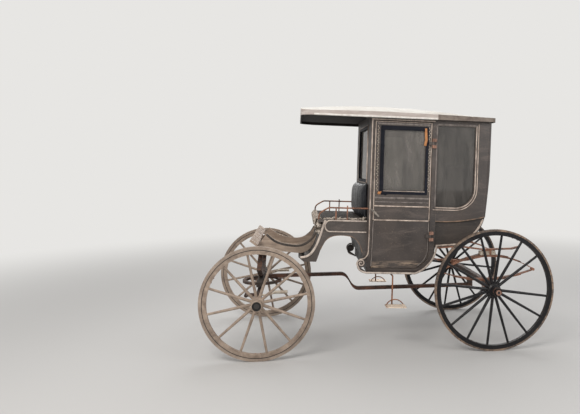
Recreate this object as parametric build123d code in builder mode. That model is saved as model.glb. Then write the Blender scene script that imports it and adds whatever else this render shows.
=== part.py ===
"""Closed four-wheeled horse-drawn carriage of the coupe-rockaway type, being restored.

The vehicle stands on its wheels with its front towards -X, its left side towards -Y and
the ground at Z = 0. The body hangs on its springs with its nose up by BODY_PITCH, so the
body is drawn in forward (s) and height (h) measured from the ground under the rear axle,
on planes tilted by that pitch. The running gear is drawn in plain X, Y and Z.
"""
from build123d import *
from math import cos, radians, sin
import os

os.makedirs("parts", exist_ok=True)

# Running gear, overall
WHEELBASE = 2048.0
TRACK = 1420.0
REAR_WHEEL_R = 533.0
FRONT_WHEEL_R = 484.0
BODY_PITCH = 2.5

# Wheels
RIM_WIDTH = 30.0
REAR_TYRE = 16.0
FRONT_TYRE = 28.0
FELLOE_DEPTH = 36.0
TYRE_FIT = 0.1
DISH = 22.0
HUB_INNER = 100.0
HUB_OUTER = 90.0
HUB_R = 57.0
HUB_WAIST_R = 44.0
HUB_NOSE_R = 36.0
SPOKE_ROOT = (17.0, 13.0)
SPOKE_TIP = (11.5, 10.0)
REAR_SPOKES = 16
FRONT_SPOKES = 12
REAR_SPOKE_PHASE = 14.5
FRONT_SPOKE_PHASE = 10.0

LOST_SPOKES = {("rear", "left"): (0,)}
FRONT_HUB_RECESS = 26.0
NUT_CLEAR = 9.0

# Axles
AXLE_BAR = 34.0
SPINDLE_R = 17.0
RUNNING_FIT = 0.06
NUT_R = 27.0
NUT_LENGTH = 18.0
NUT_GAP = 0.5
COLLAR_GAP = 0.5
BED_WIDTH = 44.0
BED_HEIGHT = 30.0

# Cab
CAB_FRONT = 1130.0
CAB_REAR = 28.0
CAB_TOP = 2030.0
WALL = 30.0
BELT_HALF = 550.0
EAVE_HALF = 536.0
SILL_HALF = 484.0
SPLIT_Y = 450.0
BELT_H = 1108.0
TURN_H = 1085.0
SILL_H = 640.0
REAR_STRAIGHT_H = 1650.0
REAR_BELT = (78.0, 1140.0)
REAR_TURN = (150.0, 1004.0)
REAR_FOOT = (300.0, 892.0)
STEP_UP = (520.0, 872.0)
STEP_TURN = (582.0, 716.0)
SILL_END_S = 690.0
REAR_CORNER_R = 80.0
LOWER_RECESS = 14.0
BELT_RISE = 50.0

# Doors
DOOR_REAR = 581.0
DOOR_FRONT = 1098.0
DOOR_TOP = 1985.0
DOOR_GAP = 5.0
DOOR_SILL_GAP = 2.0
DOOR_SWING = 1.5
SASH_REAR = 640.0
SASH_FRONT = 1018.0
SASH_BOTTOM = 1360.0
SASH_TOP = 1905.0
HINGE_HEIGHTS = (973.0, 1798.0)
HINGE_R = 9.0
HINGE_LENGTH = 84.0
HINGE_PLATE = 34.0
HINGE_SLACK = 0.3
HINGE_Y = 560.0
HINGE_REACH = 34.0
HINGE_S = 578.0
HANDLE_IN = 24.0
HANDLE_H = 1168.0
HANDLE_SLOPE = 43.0
HANDLE_ROSE_R = 14.0
HANDLE_ROSE = 6.0
HANDLE_STEM_R = 6.0
HANDLE_OUT = 44.0
HANDLE_LENGTH = 96.0

# Windows
GLASS = 5.0
GLASS_Y = 520.0
GLASS_FIT = 0.2
QUARTER_FRONT = 532.0
QUARTER_REAR = 190.0
QUARTER_TOP = 1955.0
QUARTER_BOTTOM = 1238.0
QUARTER_R = 165.0
FRONT_WINDOW = (620.0, 480.0)
FRONT_WINDOW_R = 20.0
FRONT_TOP_RAIL = 100.0
REAR_WINDOW = (420.0, 260.0)
REAR_WINDOW_R = 60.0
REAR_TOP_RAIL = 180.0

# Roof
ROOF_HALF = 588.0
ROOF_FRONT = 1750.0
ROOF_REAR = 14.0
ROOF_LAP = 25.0
ROOF_BOARD = 14.0
ROOF_NOSE_R = 110.0
ROOF_TAIL_R = 60.0
# forward station, edge height, crown height
ROOF_SECTIONS = [
    (14.0, 2040.0, 2060.0),
    (560.0, 2052.0, 2130.0),
    (1150.0, 2056.0, 2146.0),
    (1750.0, 2044.0, 2104.0),
]

# Driver's seat and front of the body
SOFT_GAP = 0.3
SCROLL = (1178.0, 712.0)
SCROLL_R = 36.0
SCROLL_BAND = 13.0
SCROLL_BOSS_R = 11.0
SCROLL_SUNK = 9.0
ROCKER = 18.0
SEAT_TOP = 1098.0
SEAT_BOARD = 24.0
SEAT_FRONT = 1572.0
RISER_FRONT = 1517.0
RISER_BOTTOM = 985.0
RISER_FOOT = 1555.0
RISER_BULGE = (1540.0, 1040.0)
FRONT_HALF = 500.0
CHEEK = 24.0
ARCH_S = 1368.0
ARCH_H = 768.0
ARCH_R = 202.0
# edge of the wheel arch from its rear foot over the top to its front foot
ARCH = [
    (1154.0, 716.0), (1173.0, 808.0), (1198.0, 880.0), (1249.0, 936.0), (1310.0, 954.0),
    (1391.0, 956.0), (1456.0, 940.0), (1504.0, 900.0), (1542.0, 826.0), (1580.0, 716.0),
]
ARCH_SKIN = 14.0
LEG_BOTTOM = 722.0
LEG_FRONT = 1690.0
FOOT_HALF = 260.0
FOOT_CHEEK = 22.0
FOOT_BOARD = 18.0
BOLSTER_HEIGHT = 76.0
FOOT_DIP = 55.0
TOE_S = 2093.0
TOE_RISE = 46.0
TOE_ANGLE = radians(35)
TOE_WIDTH = 76.0
TOE_BOARD = 20.0
TOE_HALF = 600.0
TOE_SLOTS = 6
TOE_SLOT_WIDTH = 22.0
TOE_SLOT_PITCH = 190.0
BACKREST_HALF = 430.0
BACKREST_THICK = 78.0
BACKREST_TOP = 1430.0
RAIL_R = 7.0
RAIL_Y = 488.0
RAIL_H = 1202.0
RAIL_TURN_S = 1480.0
RAIL_FOOT_S = 1566.0
RAIL_KNEE_H = 1150.0
RAIL_BEND = 60.0
RAIL_POSTS = (1314.0, 1414.0)

# Passengers' bench
BENCH_FRONT = 560.0
BENCH_TOP = 1020.0
BENCH_BOARD = 20.0
SEAT_CUSHION = 100.0
BACK_CUSHION_S = 190.0
BACK_CUSHION_FOOT = 1135.0
BACK_CUSHION_TOP = 1640.0

# Springs and irons
LEAF = 7.0
LEAF_WIDTH = 42.0
LEAVES = 3
SPRING_Y = 510.0
SPRING_HALF = 430.0
REAR_RISE_LOW = 70.0
REAR_RISE_TOP = 125.0
FRONT_RISE = 95.0
EYE_R = 13.0
FRONT_SPRING_HALF = 400.0
IRON = 12.0

SPRING_BLOCK = 40.0
IRON_END = 8.0
IRON_BEHIND = 230.0
IRON_TIP = 70.0

# Reach and fifth wheel
REACH_HANG = 66.0
REACH_DROP_X = -300.0
REACH_WIDTH = 46.0
REACH_DEPTH = 30.0
REACH_DROP = 190.0
KINGPIN_R = 12.0
RING_OUTER = 185.0
RING_INNER = 150.0
RING_THICK = 11.0
RING_GAP = 0.5
HEAD_LENGTH = 760.0
HEAD_WIDTH = 60.0
HEAD_HEIGHT = 44.0

# Shaft couplings
COUPLING_Y = 360.0
COUPLING_REACH = 105.0
EAR_GAP = 36.0
EAR_THICK = 10.0
COUPLING_HOLE_R = 8.0

# Steps
CAB_STEP_S = 893.0
CAB_TREAD_BACK = 28.0
CAB_STEP_DROP_Y = 520.0
CAB_STEP_H = 344.0
STEP_BOW = 42.0
STEP_BOW_R = 5.0
STEP_ROD_R = 7.0
DRIVER_STEP_Y = 520.0
DRIVER_STEP_H = 530.0
STEP_TREAD = (182.0, 110.0)
TREAD_THICK = 8.0

BOTTOM_SLOPE = (REAR_FOOT[1] - STEP_UP[1]) / (STEP_UP[0] - REAR_FOOT[0])
REAR_AXLE_X = (WHEELBASE + FRONT_WHEEL_R - REAR_WHEEL_R) / 2
FRONT_AXLE_X = REAR_AXLE_X - WHEELBASE
FRONT_WINDOW_H = CAB_TOP - FRONT_TOP_RAIL - FRONT_WINDOW[1] / 2
REAR_WINDOW_H = CAB_TOP - REAR_TOP_RAIL - REAR_WINDOW[1] / 2

# Heights of the front gear from the axle up to the body it carries
STACK = LEAVES * LEAF
FRONT_BED_TOP = FRONT_WHEEL_R + AXLE_BAR / 2 + BED_HEIGHT
LOWER_RING_TOP = FRONT_BED_TOP + RING_THICK
UPPER_RING_TOP = LOWER_RING_TOP + RING_GAP + RING_THICK
HEAD_TOP = UPPER_RING_TOP + HEAD_HEIGHT
FRONT_SPRING_Z = HEAD_TOP + STACK + FRONT_RISE
BOLSTER_Z = FRONT_SPRING_Z + FRONT_RISE + STACK
FOOT_FLAT_H = (BOLSTER_Z + BOLSTER_HEIGHT) * cos(radians(BODY_PITCH)) - WHEELBASE * sin(radians(BODY_PITCH))
FOOT_LOW_H = FOOT_FLAT_H - FOOT_DIP
TOE_LOW = (TOE_S, FOOT_FLAT_H + TOE_RISE)
# forward station and share of the height between the footboard's lowest point and the seat riser
SWEEP = [
    (s, FOOT_LOW_H + share * (RISER_BOTTOM - FOOT_LOW_H))
    for s, share in (
        (1575.0, 0.711), (1590.0, 0.51), (1608.0, 0.33), (1630.0, 0.19), (1657.0, 0.09), (1692.0, 0.02), (1734.0, 0.0),
    )
]

FORWARD = Vector(-cos(radians(BODY_PITCH)), 0, sin(radians(BODY_PITCH)))
UPWARD = Vector(sin(radians(BODY_PITCH)), 0, cos(radians(BODY_PITCH)))
HANDS = {"left": -1, "right": 1}
LEFT = HANDS["left"]


def body_point(s, y, h):
    """A point of the pitched body: s forward, h up, from under the rear axle."""
    return Vector(REAR_AXLE_X, 0, 0) + FORWARD * s + Vector(0, y, 0) + UPWARD * h


def side(y):
    """Side plane of the body: local x forward, local y up, normal +Y."""
    return Plane(origin=body_point(0, y, 0), x_dir=FORWARD, z_dir=(0, 1, 0))


def station(s):
    """Cross plane of the body: local x to the left, local y up, normal forward."""
    return Plane(origin=body_point(s, 0, 0), x_dir=(0, -1, 0), z_dir=FORWARD)


def level(h):
    """Plan plane of the body: local x forward, local y to the left, normal up."""
    return Plane(origin=body_point(0, 0, h), x_dir=FORWARD, z_dir=UPWARD)


def gear_side(y):
    """Side plane of the running gear: local x to the rear, local y up, normal -Y."""
    return Plane(origin=(0, y, 0), x_dir=(1, 0, 0), z_dir=(0, -1, 0))


def gear_cross(x):
    """Cross plane of the running gear: local x along +Y, local y up, normal +X."""
    return Plane(origin=(x, 0, 0), x_dir=(0, 1, 0), z_dir=(1, 0, 0))


def save(part, name):
    part.label = name
    export_step(part, f"parts/{name}.step")


def save_pair(part, name):
    """Write a left-hand piece and the same piece mirrored for the right."""
    save(part, f"{name}_left")
    with BuildPart() as other:
        mirror(part, about=Plane.XZ)
    save(other.part, f"{name}_right")


# Cab outline faces

def inward(point, inset, lean_s, lean_h):
    """An outline point moved towards the cab's inside along its own slope."""
    return (point[0] + lean_s * inset, point[1] + lean_h * inset)


def cab_side_face(inset, top):
    """Side outline of the closed cab, drawn inward by inset."""
    belt = inward(REAR_BELT, inset, 1.0, 0.3)
    foot = inward(REAR_FOOT, inset, 0.3, 1.0)
    step = inward(STEP_UP, inset, 0.9, 1.0)
    sill = (SILL_END_S, SILL_H + inset)
    rear = CAB_REAR + inset
    front = CAB_FRONT - inset
    with BuildSketch() as outline:
        with BuildLine():
            Polyline((rear, top), (rear, REAR_STRAIGHT_H), belt)
            ThreePointArc(belt, inward(REAR_TURN, inset, 0.8, 0.6), foot)
            Line(foot, step)
            ThreePointArc(step, inward(STEP_TURN, inset, 0.8, 0.6), sill)
            Polyline(sill, (front, SILL_H + inset), (front, top), (rear, top))
        make_face()
    return outline.sketch


def cab_end_face(inset, top):
    """Cross section of the cab: straight from the eaves to TURN_H, turned under below it."""
    middle_h = (TURN_H + SILL_H) / 2
    middle_y = (BELT_HALF + SILL_HALF) / 2 + 16
    with BuildSketch() as outline:
        with BuildLine():
            Polyline((SILL_HALF - inset, SILL_H), (inset - SILL_HALF, SILL_H))
            for hand in (1, -1):
                ThreePointArc(
                    (hand * (SILL_HALF - inset), SILL_H),
                    (hand * (middle_y - inset), middle_h),
                    (hand * (BELT_HALF - inset), TURN_H),
                )
                Line((hand * (BELT_HALF - inset), TURN_H), (hand * (EAVE_HALF - inset), top))
            Line((EAVE_HALF - inset, top), (inset - EAVE_HALF, top))
        make_face()
    return outline.sketch


def cab_plan_face(inset):
    """Plan of the cab with its rear corners rounded."""
    length = CAB_FRONT - CAB_REAR
    with BuildSketch() as outline:
        with Locations(((CAB_FRONT + CAB_REAR) / 2, 0)):
            Rectangle(length - 2 * inset, 2 * (BELT_HALF - inset))
        fillet(outline.vertices().group_by(Axis.X)[0], REAR_CORNER_R - inset)
    return outline.sketch


def cab_block(inset, top, outline_inset=None):
    """The cab as one solid, drawn inward by inset."""
    if outline_inset is None:
        outline_inset = inset
    with BuildPart() as block:
        with BuildSketch(side(0)):
            add(cab_side_face(outline_inset, top))
        extrude(amount=2 * BELT_HALF, both=True)
        with BuildSketch(station(0)):
            add(cab_end_face(inset, top))
        extrude(amount=2 * CAB_FRONT, both=True, mode=Mode.INTERSECT)
        with BuildSketch(level(0)):
            add(cab_plan_face(inset))
        extrude(amount=2 * CAB_TOP, mode=Mode.INTERSECT)
    return block.part


def cab_shell(outer, inner):
    """Cab walls between two insets, open at the top; only the sides are recessed."""
    with BuildPart() as shell:
        add(cab_block(outer, CAB_TOP, outline_inset=0))
        add(cab_block(inner, CAB_TOP + 2 * WALL), mode=Mode.SUBTRACT)
    return shell.part


def door_face(gap):
    """Door outline: straight edges, its lower rear corner follows the cab's outline."""
    with BuildSketch() as outline:
        add(cab_side_face(WALL + DOOR_SILL_GAP + gap, CAB_TOP))
        rear = DOOR_REAR + gap
        front = DOOR_FRONT - DOOR_SWING * gap
        with Locations(((rear + front) / 2, DOOR_TOP / 2)):
            Rectangle(front - rear, DOOR_TOP - 2 * gap, mode=Mode.INTERSECT)
    return outline.sketch


def quarter_window_face(grow):
    with BuildSketch() as outline:
        with Locations(((QUARTER_FRONT + QUARTER_REAR) / 2, (QUARTER_TOP + QUARTER_BOTTOM) / 2)):
            Rectangle(QUARTER_FRONT - QUARTER_REAR, QUARTER_TOP - QUARTER_BOTTOM)
        fillet(outline.vertices().sort_by(Axis.X)[:2].sort_by(Axis.Y)[0], QUARTER_R)
        if grow:
            offset(amount=grow)
    return outline.sketch


def side_box(hand, s_low, s_high, h_low, h_high):
    """A block of the cab's side, outward from SPLIT_Y."""
    with BuildPart() as block:
        with BuildSketch(side(hand * SPLIT_Y)):
            with Locations(((s_low + s_high) / 2, (h_low + h_high) / 2)):
                Rectangle(s_high - s_low, h_high - h_low)
        extrude(amount=hand * BELT_HALF)
    return block.part


def middle_box(s_low, s_high, h_low, h_high):
    """A block of the cab's middle, between the two side splits."""
    with BuildPart() as block:
        with BuildSketch(side(0)):
            with Locations(((s_low + s_high) / 2, (h_low + h_high) / 2)):
                Rectangle(s_high - s_low, h_high - h_low)
        extrude(amount=SPLIT_Y, both=True)
    return block.part


def below_belt():
    """The part of the side view under the belt, whose line rises to the rear."""
    with BuildSketch() as outline:
        with BuildLine():
            Polyline((QUARTER_FRONT, BELT_H), (QUARTER_FRONT, 0), (-CAB_FRONT, 0), (-CAB_FRONT, BELT_H + BELT_RISE))
            Line((-CAB_FRONT, BELT_H + BELT_RISE), (REAR_BELT[0], BELT_H + BELT_RISE))
            ThreePointArc(
                (REAR_BELT[0], BELT_H + BELT_RISE),
                ((REAR_BELT[0] + QUARTER_FRONT) / 2, BELT_H + 0.16 * BELT_RISE),
                (QUARTER_FRONT, BELT_H),
            )
        make_face()
    return outline.sketch


SOLID = cab_block(0, CAB_TOP)
SHELL = cab_shell(0, WALL)
LOWER_SHELL = cab_shell(LOWER_RECESS, WALL)
INSIDE = cab_block(WALL, CAB_TOP + 2 * WALL)

# Side walls: door frame, upper quarter and recessed lower quarter
with BuildPart() as door_frame:
    add(SHELL)
    add(side_box(LEFT, QUARTER_FRONT, CAB_FRONT, 0, CAB_TOP), mode=Mode.INTERSECT)
    with BuildSketch(side(0)):
        add(door_face(0))
    extrude(amount=LEFT * 2 * BELT_HALF, mode=Mode.SUBTRACT)
save_pair(door_frame.part, "door_frame")

with BuildPart() as quarter:
    add(SHELL)
    add(side_box(LEFT, -CAB_FRONT, QUARTER_FRONT, 0, CAB_TOP), mode=Mode.INTERSECT)
    with BuildSketch(side(0)):
        add(below_belt())
        add(quarter_window_face(0))
    extrude(amount=LEFT * 2 * BELT_HALF, mode=Mode.SUBTRACT)
save_pair(quarter.part, "quarter")

with BuildPart() as lower_quarter:
    add(LOWER_SHELL)
    add(side_box(LEFT, -CAB_FRONT, QUARTER_FRONT, 0, CAB_TOP), mode=Mode.INTERSECT)
    with BuildSketch(side(0)):
        add(below_belt())
    extrude(amount=LEFT * 2 * BELT_HALF, mode=Mode.INTERSECT)
save_pair(lower_quarter.part, "lower_quarter")

# Back, floor and front walls between the sides
with BuildPart() as back_wall:
    add(SHELL)
    add(middle_box(-CAB_FRONT, REAR_FOOT[0], 0, CAB_TOP), mode=Mode.INTERSECT)
    with BuildSketch(station(0)):
        with Locations((0, REAR_WINDOW_H)):
            RectangleRounded(REAR_WINDOW[0], REAR_WINDOW[1], REAR_WINDOW_R)
    extrude(amount=REAR_FOOT[0], mode=Mode.SUBTRACT)
save(back_wall.part, "back_wall")

with BuildPart() as floor:
    add(SHELL)
    add(middle_box(REAR_FOOT[0], CAB_FRONT - WALL, 0, BELT_H), mode=Mode.INTERSECT)
save(floor.part, "floor")

with BuildPart() as front_wall:
    add(SHELL)
    add(middle_box(CAB_FRONT - WALL, CAB_FRONT, 0, CAB_TOP), mode=Mode.INTERSECT)
    with BuildSketch(station(CAB_FRONT - 2 * WALL)):
        with Locations((0, FRONT_WINDOW_H)):
            RectangleRounded(FRONT_WINDOW[0], FRONT_WINDOW[1], FRONT_WINDOW_R)
    extrude(amount=4 * WALL, mode=Mode.SUBTRACT)
save(front_wall.part, "front_wall")

# Fixed glass
with BuildPart() as quarter_glass:
    for hand in HANDS.values():
        with BuildSketch(side(hand * GLASS_Y)):
            add(quarter_window_face(-GLASS_FIT))
        extrude(amount=hand * GLASS)
save(quarter_glass.part, "quarter_glass")

with BuildPart() as front_glass:
    with BuildSketch(station(CAB_FRONT - WALL / 2 - GLASS / 2)):
        with Locations((0, FRONT_WINDOW_H)):
            RectangleRounded(
                FRONT_WINDOW[0] - 2 * GLASS_FIT, FRONT_WINDOW[1] - 2 * GLASS_FIT, FRONT_WINDOW_R - GLASS_FIT,
            )
    extrude(amount=GLASS)
save(front_glass.part, "front_glass")

with BuildPart() as rear_glass:
    with BuildSketch(station(CAB_REAR + WALL / 2 - GLASS / 2)):
        with Locations((0, REAR_WINDOW_H)):
            RectangleRounded(
                REAR_WINDOW[0] - 2 * GLASS_FIT, REAR_WINDOW[1] - 2 * GLASS_FIT, REAR_WINDOW_R - GLASS_FIT,
            )
    extrude(amount=GLASS)
save(rear_glass.part, "rear_glass")


def hinge_parts(hand, on_door):
    """Knuckles and plates of one side's hinges, either the pillar's or the door's share."""
    with BuildPart() as share:
        for h in HINGE_HEIGHTS:
            third = HINGE_LENGTH / 3
            starts = (h - third / 2,) if on_door else (h - 1.5 * third, h + third / 2)
            plate_s = DOOR_REAR + (HINGE_PLATE if on_door else -HINGE_PLATE) / 2
            for start in starts:
                with BuildSketch(level(start + HINGE_SLACK)):
                    with Locations((HINGE_S, -hand * HINGE_Y)):
                        Circle(HINGE_R)
                    with Locations((plate_s, -hand * (HINGE_Y - HINGE_REACH / 2))):
                        Rectangle(HINGE_PLATE, HINGE_REACH)
                extrude(amount=third - 2 * HINGE_SLACK)
        add(SOLID, mode=Mode.SUBTRACT)
    return share.part


# Doors: leaf with its hinge straps, sash glass and handle
with BuildPart() as door:
    with BuildSketch(side(0)):
        add(door_face(DOOR_GAP))
    extrude(amount=LEFT * 2 * BELT_HALF)
    add(SHELL, mode=Mode.INTERSECT)
    add(side_box(LEFT, 0, CAB_FRONT, 0, CAB_TOP), mode=Mode.INTERSECT)
    with BuildSketch(side(LEFT * SPLIT_Y)):
        with Locations(((SASH_REAR + SASH_FRONT) / 2, (SASH_BOTTOM + SASH_TOP) / 2)):
            Rectangle(SASH_FRONT - SASH_REAR, SASH_TOP - SASH_BOTTOM)
    extrude(amount=LEFT * BELT_HALF, mode=Mode.SUBTRACT)
    add(hinge_parts(LEFT, on_door=True))
save_pair(door.part, "door")

with BuildPart() as door_glass:
    with BuildSketch(side(LEFT * GLASS_Y)):
        with Locations(((SASH_REAR + SASH_FRONT) / 2, (SASH_BOTTOM + SASH_TOP) / 2)):
            Rectangle(SASH_FRONT - SASH_REAR - 2 * GLASS_FIT, SASH_TOP - SASH_BOTTOM - 2 * GLASS_FIT)
    extrude(amount=LEFT * GLASS)
save_pair(door_glass.part, "door_glass")

with BuildPart() as door_handle:
    with BuildSketch(side(LEFT * (BELT_HALF - WALL))):
        with Locations((DOOR_FRONT - HANDLE_IN, HANDLE_H)):
            Circle(HANDLE_ROSE_R)
    extrude(amount=LEFT * (WALL + HANDLE_ROSE))
    with BuildSketch(side(LEFT * BELT_HALF)):
        with Locations((DOOR_FRONT - HANDLE_IN, HANDLE_H)):
            Circle(HANDLE_STEM_R)
    extrude(amount=LEFT * HANDLE_OUT)
    with BuildSketch(side(LEFT * (BELT_HALF + HANDLE_OUT))):
        with Locations((DOOR_FRONT - HANDLE_IN + HANDLE_STEM_R, HANDLE_H + HANDLE_STEM_R)):
            SlotOverall(HANDLE_LENGTH, 2 * HANDLE_STEM_R + 2, rotation=HANDLE_SLOPE)
    extrude(amount=-LEFT * 2 * HANDLE_STEM_R)
    add(SOLID, mode=Mode.SUBTRACT)
save_pair(door_handle.part, "door_handle")

with BuildPart() as hinges:
    for hand in HANDS.values():
        add(hinge_parts(hand, on_door=False))
save(hinges.part, "hinges")

# Rocker moulding with its scroll, both sides
with BuildPart() as rockers:
    for hand in HANDS.values():
        with BuildSketch(side(hand * (SILL_HALF - ROCKER))):
            add(cab_side_face(0, CAB_TOP))
            offset(amount=ROCKER)
            add(cab_side_face(0, CAB_TOP), mode=Mode.SUBTRACT)
            with Locations(((STEP_UP[0] + CAB_FRONT) / 2, SILL_H)):
                Rectangle(CAB_FRONT - STEP_UP[0], 2 * (STEP_UP[1] - SILL_H), mode=Mode.INTERSECT)
            with BuildLine():
                Polyline(
                    (CAB_FRONT, SILL_H), (SCROLL[0] + 24, SCROLL[1] - 27), (SCROLL[0] + 34, SCROLL[1] - 12),
                    (SCROLL[0] + 30, SCROLL[1] - 46), (CAB_FRONT, SILL_H - ROCKER), (CAB_FRONT, SILL_H),
                )
            make_face()
            with Locations(SCROLL):
                Circle(SCROLL_R)
        extrude(amount=hand * 2 * ROCKER)
        with BuildSketch(side(hand * (SILL_HALF + ROCKER))):
            with Locations(SCROLL):
                Circle(SCROLL_R - SCROLL_BAND)
                Circle(SCROLL_BOSS_R, mode=Mode.SUBTRACT)
        extrude(amount=-hand * SCROLL_SUNK, mode=Mode.SUBTRACT)
save(rockers.part, "rockers")

# Roof: a crowned slab with a lapping edge, hollow under its lap
def roof_plan_face(inset):
    """Plan of the roof, its front corners turned more than its rear ones."""
    with BuildSketch() as outline:
        with Locations(((ROOF_FRONT + ROOF_REAR) / 2, 0)):
            Rectangle(ROOF_FRONT - ROOF_REAR - 2 * inset, 2 * (ROOF_HALF - inset))
        fillet(outline.vertices().group_by(Axis.X)[-1], ROOF_NOSE_R - inset)
        fillet(outline.vertices().group_by(Axis.X)[0], ROOF_TAIL_R - inset)
    return outline.sketch


with BuildPart() as roof:
    for s, edge, crown in ROOF_SECTIONS:
        with BuildSketch(station(s)):
            with BuildLine():
                Polyline(
                    (-ROOF_HALF, edge), (-ROOF_HALF, CAB_TOP - ROOF_LAP),
                    (ROOF_HALF, CAB_TOP - ROOF_LAP), (ROOF_HALF, edge),
                )
                ThreePointArc((ROOF_HALF, edge), (0, crown), (-ROOF_HALF, edge))
            make_face()
    loft()
    with BuildSketch(level(0)):
        add(roof_plan_face(0))
    extrude(amount=2 * CAB_TOP, mode=Mode.INTERSECT)
    with BuildSketch(level(CAB_TOP - 2 * ROOF_LAP)):
        add(roof_plan_face(ROOF_BOARD))
    extrude(amount=2 * ROOF_LAP, mode=Mode.SUBTRACT)
save(roof.part, "roof")

# Driver's seat
with BuildPart() as seat_box:
    with BuildSketch(side(0)):
        with BuildLine():
            Polyline(
                (RISER_FOOT, RISER_BOTTOM), (CAB_FRONT, RISER_BOTTOM), (CAB_FRONT, SEAT_TOP - SEAT_BOARD),
                (RISER_FRONT, SEAT_TOP - SEAT_BOARD),
            )
            ThreePointArc((RISER_FRONT, SEAT_TOP - SEAT_BOARD), RISER_BULGE, (RISER_FOOT, RISER_BOTTOM))
        make_face()
        with Locations(((CAB_FRONT + SEAT_FRONT) / 2, SEAT_TOP - SEAT_BOARD / 2)):
            Rectangle(SEAT_FRONT - CAB_FRONT, SEAT_BOARD)
    extrude(amount=FRONT_HALF, both=True)
save(seat_box.part, "seat_box")

with BuildPart() as backrest:
    with BuildSketch(side(0)):
        with Locations((CAB_FRONT + SOFT_GAP + BACKREST_THICK / 2, (SEAT_TOP + SOFT_GAP + BACKREST_TOP) / 2)):
            Rectangle(BACKREST_THICK, BACKREST_TOP - SEAT_TOP - SOFT_GAP)
    extrude(amount=BACKREST_HALF, both=True)
save(backrest.part, "backrest")

# Cut-under front: side cheeks around the wheel arch and the arch's own skin
def arch_face(grow):
    """The wheel arch in side view, open downward and larger by grow."""
    scale = 1 + grow / ARCH_R
    edge = [(ARCH_S + scale * (s - ARCH_S), ARCH_H + scale * (h - ARCH_H)) for s, h in ARCH]
    with BuildSketch() as outline:
        with BuildLine():
            Spline(*edge)
            Polyline(edge[-1], (edge[-1][0], SILL_H / 2), (edge[0][0], SILL_H / 2), edge[0])
        make_face()
    return outline.sketch


def front_face():
    """Side outline of the body from the cab's front to the foot of the front sweep."""
    with BuildSketch() as outline:
        with BuildLine():
            Polyline(
                (CAB_FRONT, LEG_BOTTOM), (CAB_FRONT, RISER_BOTTOM), (RISER_FOOT, RISER_BOTTOM),
                *SWEEP, (LEG_FRONT, LEG_BOTTOM), (CAB_FRONT, LEG_BOTTOM),
            )
        make_face()
        with Locations(SCROLL):
            Circle(SCROLL_R + 1, mode=Mode.SUBTRACT)
    return outline.sketch


def front_skin_face():
    """Skins of the front in side view: around the arch, down the sweep and under the foot."""
    with BuildSketch() as outline:
        add(front_face())
        with Locations((-ARCH_SKIN, ARCH_SKIN)):
            add(front_face(), mode=Mode.SUBTRACT)
        with BuildSketch():
            add(arch_face(ARCH_SKIN))
            add(front_face(), mode=Mode.INTERSECT)
        add(arch_face(0), mode=Mode.SUBTRACT)
        with Locations(SCROLL):
            Circle(SCROLL_R + 1.4 * ARCH_SKIN, mode=Mode.SUBTRACT)
    return outline.sketch


with BuildPart() as cut_under:
    for hand in HANDS.values():
        with BuildSketch(side(hand * (FRONT_HALF - CHEEK))):
            add(front_face())
            add(arch_face(0), mode=Mode.SUBTRACT)
        extrude(amount=hand * CHEEK)
    with BuildSketch(side(0)):
        add(front_skin_face())
    extrude(amount=FRONT_HALF - CHEEK, both=True)
save(cut_under.part, "cut_under")

# Narrow footboard between the wheels, and the slotted toe board at its front
TOE_TIP = (TOE_LOW[0] + TOE_WIDTH * cos(TOE_ANGLE), TOE_LOW[1] + TOE_WIDTH * sin(TOE_ANGLE))
# forward station and rise over the flat underside
FOOT_TOP = [
    (s, FOOT_FLAT_H + rise)
    for s, rise in (
        (1572, 152), (1600, 102), (1640, 62), (1680, 36), (1740, 21), (1799, 23), (1878, 35), (1955, 65), (2025, 120),
    )
]
FOOT_TOE = [(TOE_S - 13, FOOT_FLAT_H + 37), TOE_LOW, TOE_TIP, (TOE_S + 57, FOOT_FLAT_H + 55)]
FOOT_BOTTOM = [(2120, FOOT_FLAT_H), (2050, FOOT_FLAT_H), (1880, FOOT_LOW_H + 12), SWEEP[-1]]
with BuildPart() as footboard:
    for hand in HANDS.values():
        with BuildSketch(side(hand * (FOOT_HALF - FOOT_CHEEK))):
            with BuildLine():
                Polyline(*FOOT_TOP, *FOOT_TOE, *FOOT_BOTTOM, *reversed(SWEEP[:-1]), FOOT_TOP[0])
            make_face()
        extrude(amount=hand * FOOT_CHEEK)
    with BuildSketch(side(0)):
        with BuildLine():
            Polyline(
                *FOOT_BOTTOM, *[(s, h + FOOT_BOARD) for s, h in reversed(FOOT_BOTTOM)], FOOT_BOTTOM[0],
            )
        make_face()
    extrude(amount=FOOT_HALF - FOOT_CHEEK, both=True)
save(footboard.part, "footboard")

with BuildPart() as toe_board:
    with BuildSketch(side(0)):
        with BuildLine():
            toe_normal = (-TOE_BOARD * sin(TOE_ANGLE), TOE_BOARD * cos(TOE_ANGLE))
            Polyline(
                TOE_LOW, TOE_TIP, (TOE_TIP[0] + toe_normal[0], TOE_TIP[1] + toe_normal[1]),
                (TOE_LOW[0] + toe_normal[0], TOE_LOW[1] + toe_normal[1]), TOE_LOW,
            )
        make_face()
    extrude(amount=TOE_HALF, both=True)
    toe_middle = body_point((TOE_LOW[0] + TOE_TIP[0]) / 2, 0, (TOE_LOW[1] + TOE_TIP[1]) / 2)
    toe_up = FORWARD * -sin(TOE_ANGLE) + UPWARD * cos(TOE_ANGLE)
    with BuildSketch(Plane(origin=toe_middle, x_dir=(0, 1, 0), z_dir=toe_up)):
        with GridLocations(TOE_SLOT_PITCH, 0, TOE_SLOTS, 1):
            SlotOverall(TOE_WIDTH - TOE_BOARD, TOE_SLOT_WIDTH, rotation=90)
    extrude(amount=2 * TOE_BOARD, both=True, mode=Mode.SUBTRACT)
save(toe_board.part, "toe_board")

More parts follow.
